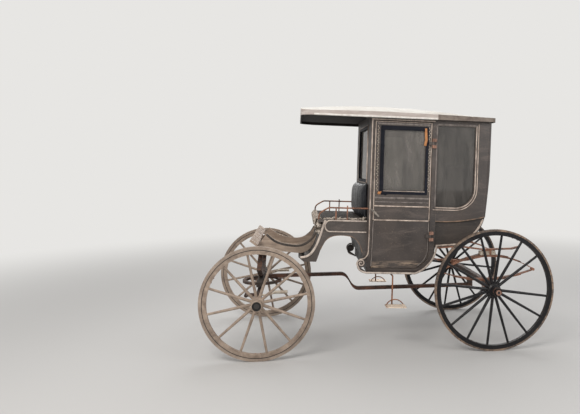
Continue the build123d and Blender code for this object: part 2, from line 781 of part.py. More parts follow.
# Iron arm rails of the driver's seat
with BuildPart() as seat_rails:
    for hand in HANDS.values():
        with BuildLine(side(hand * RAIL_Y)) as rail_path:
            FilletPolyline(
                (CAB_FRONT, RAIL_H), (RAIL_TURN_S, RAIL_H), (RAIL_FOOT_S, RAIL_KNEE_H), (RAIL_FOOT_S, SEAT_TOP),
                radius=RAIL_BEND,
            )
        with BuildSketch(Plane(rail_path.line @ 0, z_dir=rail_path.line % 0)):
            Circle(RAIL_R)
        sweep()
        for s in RAIL_POSTS:
            with BuildSketch(level(SEAT_TOP)):
                with Locations((s, -hand * RAIL_Y)):
                    Circle(RAIL_R - 1)
            extrude(amount=RAIL_H - SEAT_TOP)
save(seat_rails.part, "seat_rails")

# Passengers' bench and its cushions
with BuildPart() as bench:
    with BuildSketch(side(0)):
        with Locations((BENCH_FRONT / 2, BENCH_TOP - BENCH_BOARD / 2)):
            Rectangle(BENCH_FRONT, BENCH_BOARD)
        with Locations((BENCH_FRONT - BENCH_BOARD / 2, (BENCH_TOP + SILL_H + WALL) / 2)):
            Rectangle(BENCH_BOARD, BENCH_TOP - SILL_H - WALL)
    extrude(amount=SPLIT_Y, both=True)
    add(INSIDE, mode=Mode.INTERSECT)
save(bench.part, "bench")

with BuildPart() as bench_cushions:
    with BuildSketch(side(0)):
        with Locations(((BACK_CUSHION_S + BENCH_FRONT) / 2, BENCH_TOP + SOFT_GAP + SEAT_CUSHION / 2)):
            Rectangle(BENCH_FRONT - BACK_CUSHION_S, SEAT_CUSHION)
        with Locations((BACK_CUSHION_S / 2 - SOFT_GAP / 2, (BACK_CUSHION_TOP + BACK_CUSHION_FOOT) / 2)):
            Rectangle(BACK_CUSHION_S - SOFT_GAP, BACK_CUSHION_TOP - BACK_CUSHION_FOOT)
    extrude(amount=SPLIT_Y - 10, both=True)
    add(cab_block(WALL + SOFT_GAP, CAB_TOP), mode=Mode.INTERSECT)
save(bench_cushions.part, "bench_cushions")

# Running gear: a full elliptic spring as one solid, from nested leaves and eyes
def spring_face(half, rise_low, rise_top):
    """Elliptic spring in its own plane, eyes on the local x axis."""
    with BuildSketch() as outline:
        for up, rise in ((1, rise_top), (-1, rise_low)):
            radius = (half * half + rise * rise) / (2 * rise)
            for leaf in range(LEAVES):
                inner = radius + leaf * LEAF
                reach = half * (1 - 0.27 * leaf)
                with BuildSketch():
                    with Locations((0, up * (rise - radius))):
                        Circle(inner + LEAF)
                        Circle(inner, mode=Mode.SUBTRACT)
                    with Locations((0, up * (rise + 2 * LEAF * LEAVES))):
                        Rectangle(2 * reach, 2 * (rise + 2 * LEAF * LEAVES), mode=Mode.INTERSECT)
        with Locations((-half, 0), (half, 0)):
            Circle(EYE_R)
    return outline.sketch


REAR_BED_TOP = REAR_WHEEL_R + AXLE_BAR / 2 + BED_HEIGHT
REAR_SPRING_Z = REAR_BED_TOP + STACK + REAR_RISE_LOW
with BuildPart() as rear_springs:
    for hand in HANDS.values():
        with BuildSketch(gear_side(hand * SPRING_Y - LEAF_WIDTH / 2)):
            with Locations((REAR_AXLE_X, REAR_SPRING_Z)):
                add(spring_face(SPRING_HALF, REAR_RISE_LOW, REAR_RISE_TOP))
        extrude(amount=-LEAF_WIDTH)
save(rear_springs.part, "rear_springs")

IRON_Z = REAR_SPRING_Z + REAR_RISE_TOP + STACK + SPRING_BLOCK
with BuildPart() as body_irons:
    for hand in HANDS.values():
        with BuildSketch(gear_side(hand * SPRING_Y - LEAF_WIDTH / 2)):
            with BuildLine():
                seat_front = body_point(STEP_UP[0] - IRON_END, 0, STEP_UP[1] + IRON_END * BOTTOM_SLOPE)
                seat_rear = body_point(REAR_FOOT[0], 0, REAR_FOOT[1])
                Polyline(
                    (seat_front.X, seat_front.Z), (seat_rear.X, seat_rear.Z),
                    (REAR_AXLE_X - SPRING_BLOCK, IRON_Z + IRON), (REAR_AXLE_X + IRON_BEHIND, IRON_Z + IRON),
                    (REAR_AXLE_X + IRON_BEHIND + IRON_TIP, IRON_Z + 2.3 * IRON),
                    (REAR_AXLE_X + IRON_BEHIND + IRON_TIP, IRON_Z + 1.3 * IRON),
                    (REAR_AXLE_X + IRON_BEHIND, IRON_Z), (REAR_AXLE_X - SPRING_BLOCK - 4, IRON_Z),
                    (seat_rear.X, seat_rear.Z - IRON), (seat_front.X, seat_front.Z - IRON),
                    (seat_front.X, seat_front.Z),
                )
            make_face()
            with Locations((REAR_AXLE_X, IRON_Z - SPRING_BLOCK / 2)):
                Rectangle(2 * SPRING_BLOCK, SPRING_BLOCK)
        extrude(amount=-LEAF_WIDTH)
save(body_irons.part, "body_irons")


def axle_solid(x, wheel_r, recess):
    """Square axle with its wooden bed, collars, spindles and end nuts."""
    shoulder = TRACK / 2 - HUB_INNER - COLLAR_GAP
    nut_start = TRACK / 2 + HUB_OUTER - recess + NUT_GAP
    with BuildPart() as axle:
        with BuildSketch(gear_cross(x - AXLE_BAR / 2)):
            with Locations((0, wheel_r)):
                Rectangle(2 * shoulder, AXLE_BAR)
        extrude(amount=AXLE_BAR)
        with BuildSketch(gear_cross(x - BED_WIDTH / 2)):
            with Locations((0, wheel_r + (AXLE_BAR + BED_HEIGHT) / 2)):
                Rectangle(2 * (SPRING_Y + LEAF_WIDTH / 2), BED_HEIGHT)
        extrude(amount=BED_WIDTH)
        for hand in (1, -1):
            with BuildSketch(gear_side(-hand * shoulder)):
                with Locations((x, wheel_r)):
                    Circle(SPINDLE_R)
            extrude(amount=hand * (nut_start - shoulder))
            with BuildSketch(gear_side(-hand * nut_start)):
                with Locations((x, wheel_r)):
                    RegularPolygon(NUT_R, 6)
            extrude(amount=hand * NUT_LENGTH)
    return axle.part


with BuildPart() as rear_axle:
    add(axle_solid(REAR_AXLE_X, REAR_WHEEL_R, 0))
    with BuildSketch(gear_cross(REAR_AXLE_X - REACH_WIDTH / 2)):
        with Locations((0, REAR_WHEEL_R - (AXLE_BAR + REACH_HANG) / 2)):
            Rectangle(REACH_WIDTH, REACH_HANG)
    extrude(amount=REACH_WIDTH)
save(rear_axle.part, "rear_axle")

# Fifth wheel: kingpin, upper ring and head block are the body's, the lower ring the axle's
with BuildPart() as front_axle:
    add(axle_solid(FRONT_AXLE_X, FRONT_WHEEL_R, FRONT_HUB_RECESS))
    with BuildSketch(Plane.XY.offset(0)):
        with Locations((FRONT_AXLE_X, 0)):
            Circle(KINGPIN_R + RUNNING_FIT)
    extrude(amount=FRONT_BED_TOP + BED_HEIGHT, mode=Mode.SUBTRACT)
save(front_axle.part, "front_axle")

with BuildPart() as lower_ring:
    with BuildSketch(Plane.XY.offset(FRONT_BED_TOP)):
        with Locations((FRONT_AXLE_X, 0)):
            Circle(RING_OUTER)
            Circle(RING_INNER, mode=Mode.SUBTRACT)
    extrude(amount=RING_THICK)
save(lower_ring.part, "lower_ring")

with BuildPart() as upper_ring:
    with BuildSketch(Plane.XY.offset(LOWER_RING_TOP + RING_GAP)):
        with Locations((FRONT_AXLE_X, 0)):
            Circle(RING_OUTER)
            Circle(RING_INNER, mode=Mode.SUBTRACT)
    extrude(amount=RING_THICK)
save(upper_ring.part, "upper_ring")

with BuildPart() as head_block:
    with BuildSketch(Plane.XY.offset(UPPER_RING_TOP)):
        with Locations((FRONT_AXLE_X, 0)):
            Rectangle(HEAD_WIDTH, HEAD_LENGTH)
    extrude(amount=HEAD_HEIGHT)
    with BuildSketch(Plane.XY.offset(FRONT_WHEEL_R - AXLE_BAR)):
        with Locations((FRONT_AXLE_X, 0)):
            Circle(KINGPIN_R)
    extrude(amount=UPPER_RING_TOP - FRONT_WHEEL_R + AXLE_BAR)
save(head_block.part, "head_block")

with BuildPart() as front_spring:
    with BuildSketch(gear_cross(FRONT_AXLE_X - LEAF_WIDTH / 2)):
        with Locations((0, FRONT_SPRING_Z)):
            add(spring_face(FRONT_SPRING_HALF, FRONT_RISE, FRONT_RISE))
    extrude(amount=LEAF_WIDTH)
save(front_spring.part, "front_spring")

# Bolster between the front spring and the footboard's flat underside
with BuildPart() as bolster:
    with BuildSketch(Plane.XY.offset(BOLSTER_Z)):
        with Locations((FRONT_AXLE_X, 0)):
            Rectangle(HEAD_WIDTH, 2 * FOOT_HALF)
    extrude(amount=4 * HEAD_HEIGHT)
    with BuildSketch(level(FOOT_FLAT_H)):
        Rectangle(3 * WHEELBASE, 3 * FOOT_HALF)
    extrude(amount=4 * HEAD_HEIGHT, mode=Mode.SUBTRACT)
save(bolster.part, "bolster")

# Reach from the head block to the rear axle, with its drop
REACH_Z = REAR_WHEEL_R - AXLE_BAR / 2 - REACH_HANG
with BuildPart() as reach:
    with BuildSketch(gear_side(REACH_WIDTH / 2)):
        with BuildLine():
            front = FRONT_AXLE_X + HEAD_WIDTH / 2
            back = REAR_AXLE_X + REACH_WIDTH / 2
            drop_end = REACH_DROP_X + REACH_DROP
            Polyline(
                (REACH_DROP_X, HEAD_TOP), (front, HEAD_TOP), (front, HEAD_TOP - REACH_DEPTH),
                (REACH_DROP_X, HEAD_TOP - REACH_DEPTH),
            )
            Spline(
                (REACH_DROP_X, HEAD_TOP - REACH_DEPTH), (drop_end, REACH_Z - REACH_DEPTH),
                tangents=[(1, 0), (1, 0)],
            )
            Polyline(
                (drop_end, REACH_Z - REACH_DEPTH), (back, REACH_Z - REACH_DEPTH), (back, REACH_Z), (drop_end, REACH_Z),
            )
            Spline((REACH_DROP_X, HEAD_TOP), (drop_end, REACH_Z), tangents=[(1, 0), (1, 0)])
        make_face()
    extrude(amount=REACH_WIDTH)
save(reach.part, "reach")

# Shaft couplings: two pairs of drilled ears ahead of the front axle
with BuildPart() as couplings:
    for hand in HANDS.values():
        for ear in (-1, 1):
            ear_y = hand * COUPLING_Y + ear * (EAR_GAP + EAR_THICK) / 2
            with BuildSketch(gear_side(ear_y + EAR_THICK / 2)):
                with Locations((FRONT_AXLE_X - AXLE_BAR / 2 - COUPLING_REACH / 2, FRONT_WHEEL_R)):
                    Rectangle(COUPLING_REACH, 2 * EAR_THICK)
                with Locations((FRONT_AXLE_X - AXLE_BAR / 2 - COUPLING_REACH, FRONT_WHEEL_R)):
                    Circle(2.2 * COUPLING_HOLE_R)
                    Circle(COUPLING_HOLE_R, mode=Mode.SUBTRACT)
            extrude(amount=EAR_THICK)
        with BuildSketch(gear_cross(FRONT_AXLE_X - AXLE_BAR / 2 - EAR_THICK)):
            with Locations((hand * COUPLING_Y, FRONT_WHEEL_R)):
                Rectangle(EAR_GAP + 2 * EAR_THICK, AXLE_BAR)
        extrude(amount=EAR_THICK)
save(couplings.part, "couplings")

# Cab steps hung under the doors
with BuildPart() as cab_steps:
    for hand in HANDS.values():
        with BuildLine(station(CAB_STEP_S)) as step_path:
            rod_h = SILL_H - ROCKER - 2 * STEP_ROD_R
            FilletPolyline(
                (-hand * (SPLIT_Y - 40), SILL_H), (-hand * (SPLIT_Y - 40), rod_h),
                (-hand * CAB_STEP_DROP_Y, rod_h), (-hand * CAB_STEP_DROP_Y, CAB_STEP_H + TREAD_THICK),
                radius=14,
            )
        with BuildSketch(Plane(step_path.line @ 0, z_dir=step_path.line % 0)):
            Circle(STEP_ROD_R)
        sweep()
        with BuildSketch(level(CAB_STEP_H)):
            tread_y = CAB_STEP_DROP_Y + STEP_TREAD[1] / 2 - 2 * STEP_ROD_R
            with Locations((CAB_STEP_S - CAB_TREAD_BACK, -hand * tread_y)):
                RectangleRounded(STEP_TREAD[0], STEP_TREAD[1], 12)
        extrude(amount=TREAD_THICK)
        bow_foot = STEP_TREAD[0] / 2 - 2 * STEP_ROD_R
        bow_s = CAB_STEP_S - CAB_TREAD_BACK
        with BuildLine(side(hand * CAB_STEP_DROP_Y)) as bow:
            ThreePointArc(
                (bow_s + bow_foot, CAB_STEP_H + STEP_BOW_R), (CAB_STEP_S, CAB_STEP_H + TREAD_THICK + STEP_BOW),
                (bow_s - bow_foot, CAB_STEP_H + STEP_BOW_R),
            )
        with BuildSketch(Plane(bow.line @ 0, z_dir=bow.line % 0)):
            Circle(STEP_BOW_R)
        sweep()
save(cab_steps.part, "cab_steps")

# Driver's mounting steps on the front axle bed
with BuildPart() as driver_steps:
    for hand in HANDS.values():
        with BuildLine(gear_side(hand * DRIVER_STEP_Y)) as step_path:
            FilletPolyline(
                (FRONT_AXLE_X + BED_WIDTH / 2, FRONT_BED_TOP - BED_HEIGHT / 2),
                (FRONT_AXLE_X + 90, FRONT_BED_TOP - BED_HEIGHT / 2),
                (FRONT_AXLE_X + 130, DRIVER_STEP_H),
                (FRONT_AXLE_X + 250, DRIVER_STEP_H),
                radius=18,
            )
        with BuildSketch(Plane(step_path.line @ 0, z_dir=step_path.line % 0)):
            Circle(STEP_ROD_R + 1)
        sweep()
        with BuildSketch(Plane.XY.offset(DRIVER_STEP_H + STEP_ROD_R)):
            with Locations((FRONT_AXLE_X + 190, hand * DRIVER_STEP_Y)):
                RectangleRounded(120, 60, 10)
        extrude(amount=TREAD_THICK)
save(driver_steps.part, "driver_steps")


# Wheels: hub, spokes and felloe in one piece, the tyre shrunk on as another
def wheel_plane(x, radius, hand):
    """Plane through the wheel's axle: local x outward along it, local y up."""
    return Plane(origin=(x, hand * TRACK / 2, radius), x_dir=(0, hand, 0), z_dir=(hand, 0, 0))


def spoke_plane(x, radius, hand, angle, out, along):
    """Plane across one spoke at a distance from the axle."""
    radial = Vector(cos(angle), 0, sin(angle))
    centre = Vector(x, hand * (TRACK / 2 + along), radius)
    return Plane(origin=centre + radial * out, x_dir=(0, 1, 0), z_dir=radial)


def wheel_solid(x, radius, hand, tyre, spokes, phase, recess, missing):
    felloe_out = radius - tyre - TYRE_FIT
    felloe_in = felloe_out - FELLOE_DEPTH
    centre_axis = Axis((x, 0, radius), (0, 1, 0))
    with BuildPart() as wheel:
        with BuildSketch(wheel_plane(x, radius, hand)):
            with BuildLine():
                Polyline(
                    (-HUB_INNER, SPINDLE_R + RUNNING_FIT), (-HUB_INNER, HUB_WAIST_R - 4),
                    (-DISH - 34, HUB_WAIST_R), (-DISH - 24, HUB_R), (-DISH + 24, HUB_R),
                    (-DISH + 34, HUB_WAIST_R), (HUB_OUTER, HUB_NOSE_R + recess / 4),
                    (HUB_OUTER, SPINDLE_R + RUNNING_FIT), (-HUB_INNER, SPINDLE_R + RUNNING_FIT),
                )
            make_face()
        revolve(axis=centre_axis)
        with BuildSketch(wheel_plane(x, radius, hand)):
            with Locations((0, (felloe_in + felloe_out) / 2)):
                Rectangle(RIM_WIDTH, FELLOE_DEPTH)
        revolve(axis=centre_axis)
        for spoke in range(spokes):
            if spoke in missing:
                continue
            angle = radians(phase + spoke * 360 / spokes)
            with BuildSketch(spoke_plane(x, radius, hand, angle, HUB_R - 6, -DISH)):
                Ellipse(*SPOKE_ROOT)
            with BuildSketch(spoke_plane(x, radius, hand, angle, felloe_in + 6, 0)):
                Ellipse(*SPOKE_TIP)
            loft()
        if recess:
            with BuildSketch(gear_side(hand * (TRACK / 2 + HUB_OUTER))):
                with Locations((x, radius)):
                    Circle(NUT_R + NUT_CLEAR)
            extrude(amount=hand * recess, mode=Mode.SUBTRACT)
    return wheel.part


def tyre_solid(x, radius, hand, tyre):
    with BuildPart() as band:
        with BuildSketch(wheel_plane(x, radius, hand)):
            with Locations((0, radius - tyre / 2)):
                Rectangle(RIM_WIDTH - 2, tyre)
        revolve(axis=Axis((x, 0, radius), (0, 1, 0)))
    return band.part


# axle station, wheel radius, tyre depth, spoke count, first spoke's angle, hub recess
AXLES = {
    "front": (FRONT_AXLE_X, FRONT_WHEEL_R, FRONT_TYRE, FRONT_SPOKES, FRONT_SPOKE_PHASE, FRONT_HUB_RECESS),
    "rear": (REAR_AXLE_X, REAR_WHEEL_R, REAR_TYRE, REAR_SPOKES, REAR_SPOKE_PHASE, 0),
}
for end, (x, radius, tyre, spokes, phase, recess) in AXLES.items():
    for name, hand in HANDS.items():
        missing = LOST_SPOKES.get((end, name), ())
        save(wheel_solid(x, radius, hand, tyre, spokes, phase, recess, missing), f"wheel_{end}_{name}")
        save(tyre_solid(x, radius, hand, tyre), f"tyre_{end}_{name}")
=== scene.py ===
"""Looks of the closed horse-drawn carriage: materials, mouldings, padding and small ironwork.

Lengths are metres. The body is drawn in forward (s) and height (h), measured from the ground
under the rear axle and pitched nose up, as the carriage hangs on its springs.
"""

import math
import random

import bmesh
import bpy
from mathutils import Matrix, Vector


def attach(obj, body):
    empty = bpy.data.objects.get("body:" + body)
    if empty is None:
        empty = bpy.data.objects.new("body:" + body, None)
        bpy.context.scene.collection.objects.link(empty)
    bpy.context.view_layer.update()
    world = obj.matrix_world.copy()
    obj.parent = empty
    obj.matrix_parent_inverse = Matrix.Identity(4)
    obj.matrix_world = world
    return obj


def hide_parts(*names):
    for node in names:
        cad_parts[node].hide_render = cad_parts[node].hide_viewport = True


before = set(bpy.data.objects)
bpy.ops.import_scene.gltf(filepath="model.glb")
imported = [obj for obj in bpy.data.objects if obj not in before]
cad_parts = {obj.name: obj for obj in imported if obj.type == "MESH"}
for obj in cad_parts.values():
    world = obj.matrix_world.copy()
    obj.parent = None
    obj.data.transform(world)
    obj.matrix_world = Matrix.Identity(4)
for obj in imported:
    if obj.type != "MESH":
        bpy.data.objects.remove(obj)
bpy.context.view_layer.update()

# Places that the solids are built from
PITCH = math.radians(2.5)
REAR_AXLE = Vector((0.9995, 0.0, 0.533))
FRONT_AXLE = Vector((-1.0485, 0.0, 0.484))
WHEEL_Y = 0.710
FORWARD = Vector((-math.cos(PITCH), 0.0, math.sin(PITCH)))
UPWARD = Vector((math.sin(PITCH), 0.0, math.cos(PITCH)))
SIDEWAYS = Vector((0.0, 1.0, 0.0))
HANDS = {"left": -1, "right": 1}

# Cab section, height and half width: the sill, the top of the turn-under and the eaves
SILL = (0.640, 0.484)
TURN = (1.085, 0.550)
EAVE = (2.030, 0.536)
TURN_MIDDLE = ((TURN[0] + SILL[0]) / 2, (TURN[1] + SILL[1]) / 2 + 0.016)
RECESS = 0.014
ROCKER_FACE = 0.502
CAB_REAR = 0.028
CAB_FRONT = 1.130
REAR_CORNER = 0.080
# the cab's back is straight down to REAR_STRAIGHT and leans forward to the belt
REAR_STRAIGHT = 1.650
REAR_BELT = (0.078, 1.140)

# Front of the body
FRONT_HALF = 0.500
SEAT_TOP = 1.098
FOOT_HALF = 0.260
RAIL_Y = 0.488
RAIL_H = 1.202
RAIL_POST_S = 1.314
ARCH = [
    (1.154, 0.716), (1.173, 0.808), (1.198, 0.880), (1.249, 0.936), (1.310, 0.954),
    (1.391, 0.956), (1.456, 0.940), (1.504, 0.900), (1.542, 0.826), (1.580, 0.716),
]
# side view of the footboard's upper edge
FOOT_TOP = [
    (1.572, 0.967), (1.600, 0.917), (1.640, 0.877), (1.680, 0.851), (1.740, 0.836),
    (1.799, 0.838), (1.878, 0.850), (1.955, 0.880), (2.025, 0.935),
]

# Fineness of the paths and mouldings
CORNER_STEPS = 5
CURVE_STEPS = 6
LONGEST_RUN = 0.035
BEAD_SIDES = 6
ROD_SIDES = 8
SHARP_EDGE = math.radians(38)
# the most of a side that a rounded corner takes, and the least cosine at a moulding's mitre
CORNER_SHARE = 0.45
MITRE_LIMIT = 0.5
# how far the feet of a moulding reach under the face that it lies on
BEAD_FOOT = -0.002


def body_point(s, y, h):
    """World place of a point of the pitched body."""
    return Vector((REAR_AXLE.x, y, 0.0)) + FORWARD * s + UPWARD * h


def body_place(co):
    """Forward station and height of a world point on the pitched body."""
    x, z = co.x - REAR_AXLE.x, co.z
    return -x * math.cos(PITCH) + z * math.sin(PITCH), x * math.sin(PITCH) + z * math.cos(PITCH)


def arc_through(a, b, c):
    """Centre and radius of the circle through three points."""
    (ax, ay), (bx, by), (cx, cy) = a, b, c
    d = 2 * (ax * (by - cy) + bx * (cy - ay) + cx * (ay - by))
    a2, b2, c2 = ax * ax + ay * ay, bx * bx + by * by, cx * cx + cy * cy
    ux = (a2 * (by - cy) + b2 * (cy - ay) + c2 * (ay - by)) / d
    uy = (a2 * (cx - bx) + b2 * (ax - cx) + c2 * (bx - ax)) / d
    return ux, uy, math.hypot(ax - ux, ay - uy)


TURN_ARC = arc_through(SILL, TURN_MIDDLE, TURN)


def half_width(h):
    """Half width of the cab's outer face at a height."""
    if h >= TURN[0]:
        return TURN[1] + (EAVE[1] - TURN[1]) * (h - TURN[0]) / (EAVE[0] - TURN[0])
    centre_h, centre_y, radius = TURN_ARC
    h = max(h, SILL[0])
    return centre_y + math.sqrt(max(radius * radius - (h - centre_h) ** 2, 0.0))


def cab_half(s, h):
    """Half width of the cab's outer face, drawn in at its rounded rear corners."""
    behind = CAB_REAR + REAR_CORNER - s
    if behind <= 0:
        return half_width(h)
    reach = math.sqrt(max(REAR_CORNER ** 2 - behind ** 2, 0.0))
    return min(half_width(h), TURN[1] - REAR_CORNER + reach)


# Placing functions: two coordinates on a face and a distance out of it give a world point

def cab_side(hand, sunk=0.0):
    """The cab's curved side, or a face that lies deeper by sunk."""
    return lambda s, h, out: body_point(s, hand * (cab_half(s, h) - sunk + out), h)


def flat_side(hand, y):
    """An upright face at a fixed distance from the middle."""
    return lambda s, h, out: body_point(s, hand * (y + out), h)


def rocker_face(hand):
    """Outer face of the rocker, or of the cab's side where that stands further out."""
    return lambda s, h, out: body_point(s, hand * (max(half_width(h), ROCKER_FACE) + out), h)


def cab_back(y, h, out):
    """The cab's rear face, which leans forward from REAR_STRAIGHT to the belt."""
    lean = max(REAR_STRAIGHT - h, 0.0) / (REAR_STRAIGHT - REAR_BELT[1])
    return body_point(CAB_REAR + (REAR_BELT[0] - CAB_REAR) * lean - out, y, h)


def cab_nose(y, h, out):
    """The front wall behind the driver."""
    return body_point(CAB_FRONT + out, y, h)


# Paths in two coordinates

def rounded(points, radius, closed=False):
    """A polyline with its corners turned into curves."""
    path = []
    for i, point in enumerate(points):
        corner = Vector(point)
        if not closed and i in (0, len(points) - 1):
            path.append(tuple(corner))
            continue
        before, after = Vector(points[i - 1]), Vector(points[(i + 1) % len(points)])
        shorter = min((before - corner).length, (after - corner).length)
        cut = min(radius, CORNER_SHARE * shorter)
        start = corner + (before - corner).normalized() * cut
        end = corner + (after - corner).normalized() * cut
        for k in range(CORNER_STEPS + 1):
            t = k / CORNER_STEPS
            path.append(tuple(start * (1 - t) ** 2 + corner * 2 * t * (1 - t) + end * t * t))
    return path


def dense(points, closed=False):
    """The same path with its long runs cut into short ones, so that it can follow a curved face."""
    path = []
    ends = points[1:] + points[:1] if closed else points[1:]
    for start, end in zip(points, ends):
        count = max(1, math.ceil(math.dist(start, end) / LONGEST_RUN))
        for k in range(count):
            t = k / count
            path.append((start[0] + (end[0] - start[0]) * t, start[1] + (end[1] - start[1]) * t))
    return path if closed else path + [points[-1]]


def arc(a, b, c, steps=12):
    """Points of the arc from a through b to c."""
    x, y, radius = arc_through(a, b, c)
    first, middle, last = (math.atan2(p[1] - y, p[0] - x) for p in (a, b, c))
    sweep = (last - first) % (2 * math.pi)
    if (middle - first) % (2 * math.pi) > sweep:
        sweep -= 2 * math.pi
    angles = [first + sweep * k / steps for k in range(steps + 1)]
    return [(x + radius * math.cos(t), y + radius * math.sin(t)) for t in angles]


def smoothed(points):
    """A smooth curve through the points."""
    path = []
    for i in range(len(points) - 1):
        p = [Vector(points[max(0, min(len(points) - 1, k))]) for k in (i - 1, i, i + 1, i + 2)]
        for k in range(CURVE_STEPS):
            t = k / CURVE_STEPS
            path.append(tuple(0.5 * (
                2 * p[1] + (p[2] - p[0]) * t + (2 * p[0] - 5 * p[1] + 4 * p[2] - p[3]) * t * t
                + (3 * p[1] - p[0] - 3 * p[2] + p[3]) * t ** 3
            )))
    return [*path, tuple(points[-1])]


def box_path(a_low, a_high, b_low, b_high):
    """The four corners of a box, in order."""
    return [(a_low, b_low), (a_high, b_low), (a_high, b_high), (a_low, b_high)]


def turns(sides):
    """Angles of equal steps round a circle."""
    return [2 * math.pi * k / sides for k in range(sides)]


def directions(axis):
    """An axis and two directions square to it, each of length 1."""
    axis = Vector(axis).normalized()
    side = axis.orthogonal().normalized()
    return axis, side, axis.cross(side)


# Meshes

class Shape:
    """Vertices and faces gathered from several parts of one piece."""

    def __init__(self):
        self.verts = []
        self.faces = []

    def rings(self, rings, closed=False):
        """Skin over rings of equal length, with a cap at each end unless it is closed."""
        start, size = len(self.verts), len(rings[0])
        for ring in rings:
            self.verts.extend(ring)
        spans = len(rings) if closed else len(rings) - 1
        for i in range(spans):
            low, high = start + i * size, start + (i + 1) % len(rings) * size
            for k in range(size):
                after = (k + 1) % size
                self.faces.append((low + k, low + after, high + after, high + k))
        if not closed:
            last = start + (len(rings) - 1) * size
            self.faces.append(tuple(range(start, start + size)))
            self.faces.append(tuple(range(last, last + size)))
        return self

    def bead(self, points, place, width, rise, closed=False):
        """Half-round moulding along a path on a face."""
        rings = []
        for i, (a, b) in enumerate(points):
            before = points[i - 1] if closed or i else points[i]
            after = points[(i + 1) % len(points)] if closed or i < len(points) - 1 else points[i]
            here = Vector((a, b))
            back, ahead = here - Vector(before), Vector(after) - here
            back = back.normalized() if back.length else ahead.normalized()
            ahead = ahead.normalized() if ahead.length else back
            along = (back + ahead).normalized()
            half = width / 2 / max(along.dot(ahead), MITRE_LIMIT)
            ring = []
            for k in range(BEAD_SIDES + 1):
                angle = math.pi * k / BEAD_SIDES
                reach = half * math.cos(angle)
                out = BEAD_FOOT if k in (0, BEAD_SIDES) else rise * math.sin(angle)
                ring.append(place(a - along.y * reach, b + along.x * reach, out))
            rings.append(ring)
        return self.rings(rings, closed)

    def plate(self, outer, inner, place, low, high):
        """Flat ring between two closed paths with the same number of points."""
        rings = []
        for path, out in ((outer, low), (outer, high), (inner, high), (inner, low)):
            rings.append([place(a, b, out) for a, b in path])
        return self.rings(rings, closed=True)

    def tube(self, path, radius):
        """Round rod along world points."""
        path = [Vector(p) for p in path]
        rings, normal = [], None
        for i, point in enumerate(path):
            along = (path[min(i + 1, len(path) - 1)] - path[max(i - 1, 0)]).normalized()
            if normal is None:
                normal = along.orthogonal().normalized()
            normal = (normal - along * normal.dot(along)).normalized()
            other = along.cross(normal)
            rings.append([
                point + (normal * math.cos(t) + other * math.sin(t)) * radius for t in turns(ROD_SIDES)
            ])
        return self.rings(rings)

    def turned(self, centre, axis, profile, sides=32):
        """Solid of revolution: profile points are distance along the axis and radius."""
        axis, side, other = directions(axis)
        rings = []
        for along, radius in profile:
            middle = Vector(centre) + axis * along
            rings.append([
                middle + (side * math.cos(t) + other * math.sin(t)) * radius for t in turns(sides)
            ])
        return self.rings(rings)

    def hoop(self, centre, axis, section, sides):
        """Closed ring of revolution: section points are distance along the axis and radius."""
        axis, side, other = directions(axis)
        rings = []
        for t in turns(sides):
            out = side * math.cos(t) + other * math.sin(t)
            rings.append([Vector(centre) + axis * along + out * radius for along, radius in section])
        return self.rings(rings, closed=True)

    def box(self, centre, size):
        """Box with its length, width and height along the world's axes."""
        centre = Vector(centre)
        x, y, z = (Vector(v) * reach / 2 for v, reach in zip(((1, 0, 0), (0, 1, 0), (0, 0, 1)), size))
        low = [centre - z + x * i + y * j for i, j in ((-1, -1), (1, -1), (1, 1), (-1, 1))]
        return self.rings([low, [v + z * 2 for v in low]])

    def piece(self, name, look, body, smooth=True):
        """The finished piece, its faces turned outward, riding on a body."""
        mesh = bpy.data.meshes.new(name)
        mesh.from_pydata([tuple(v) for v in self.verts], [], self.faces)
        work = bmesh.new()
        work.from_mesh(mesh)
        bmesh.ops.recalc_face_normals(work, faces=work.faces)
        work.to_mesh(mesh)
        work.free()
        mesh.polygons.foreach_set("use_smooth", [smooth] * len(mesh.polygons))
        if smooth:
            mesh.set_sharp_from_angle(angle=SHARP_EDGE)
        mesh.materials.append(look)
        piece = bpy.data.objects.new(name, mesh)
        bpy.context.collection.objects.link(piece)
        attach(piece, body)


def beaded(name, look, body, *runs):
    """A piece of mouldings. A run is its path, face, width and rise, and True where it is closed."""
    shape = Shape()
    for run in runs:
        shape.bead(*run)
    shape.piece(name, look, body)


# Shader nodes

class Nodes:
    """The nodes of a material or world, with short ways to add and join them."""

    def __init__(self, owner):
        owner.use_nodes = True
        self.owner = owner
        self.tree = owner.node_tree

    def feed(self, socket, value):
        """Give a socket a number, a colour, a vector or what another socket puts out."""
        if isinstance(value, bpy.types.NodeSocket):
            self.tree.links.new(value, socket)
        elif socket.type == "RGBA":
            socket.default_value = (*value, 1.0)
        else:
            socket.default_value = value

    def add(self, kind, inputs=None, **settings):
        """A new node with its settings, and its inputs by name or number."""
        node = self.tree.nodes.new(f"ShaderNode{kind}")
        for key, value in settings.items():
            setattr(node, key, value)
        for key, value in (inputs or {}).items():
            self.feed(node.inputs[key], value)
        return node

    def maths(self, kind, first, second):
        """One sum of two values."""
        return self.add("Math", {0: first, 1: second}, operation=kind).outputs[0]

    def mix(self, share, first, second):
        """Two shaders mixed, from all of the first to all of the second."""
        return self.add("MixShader", {0: share, 1: first, 2: second}).outputs[0]


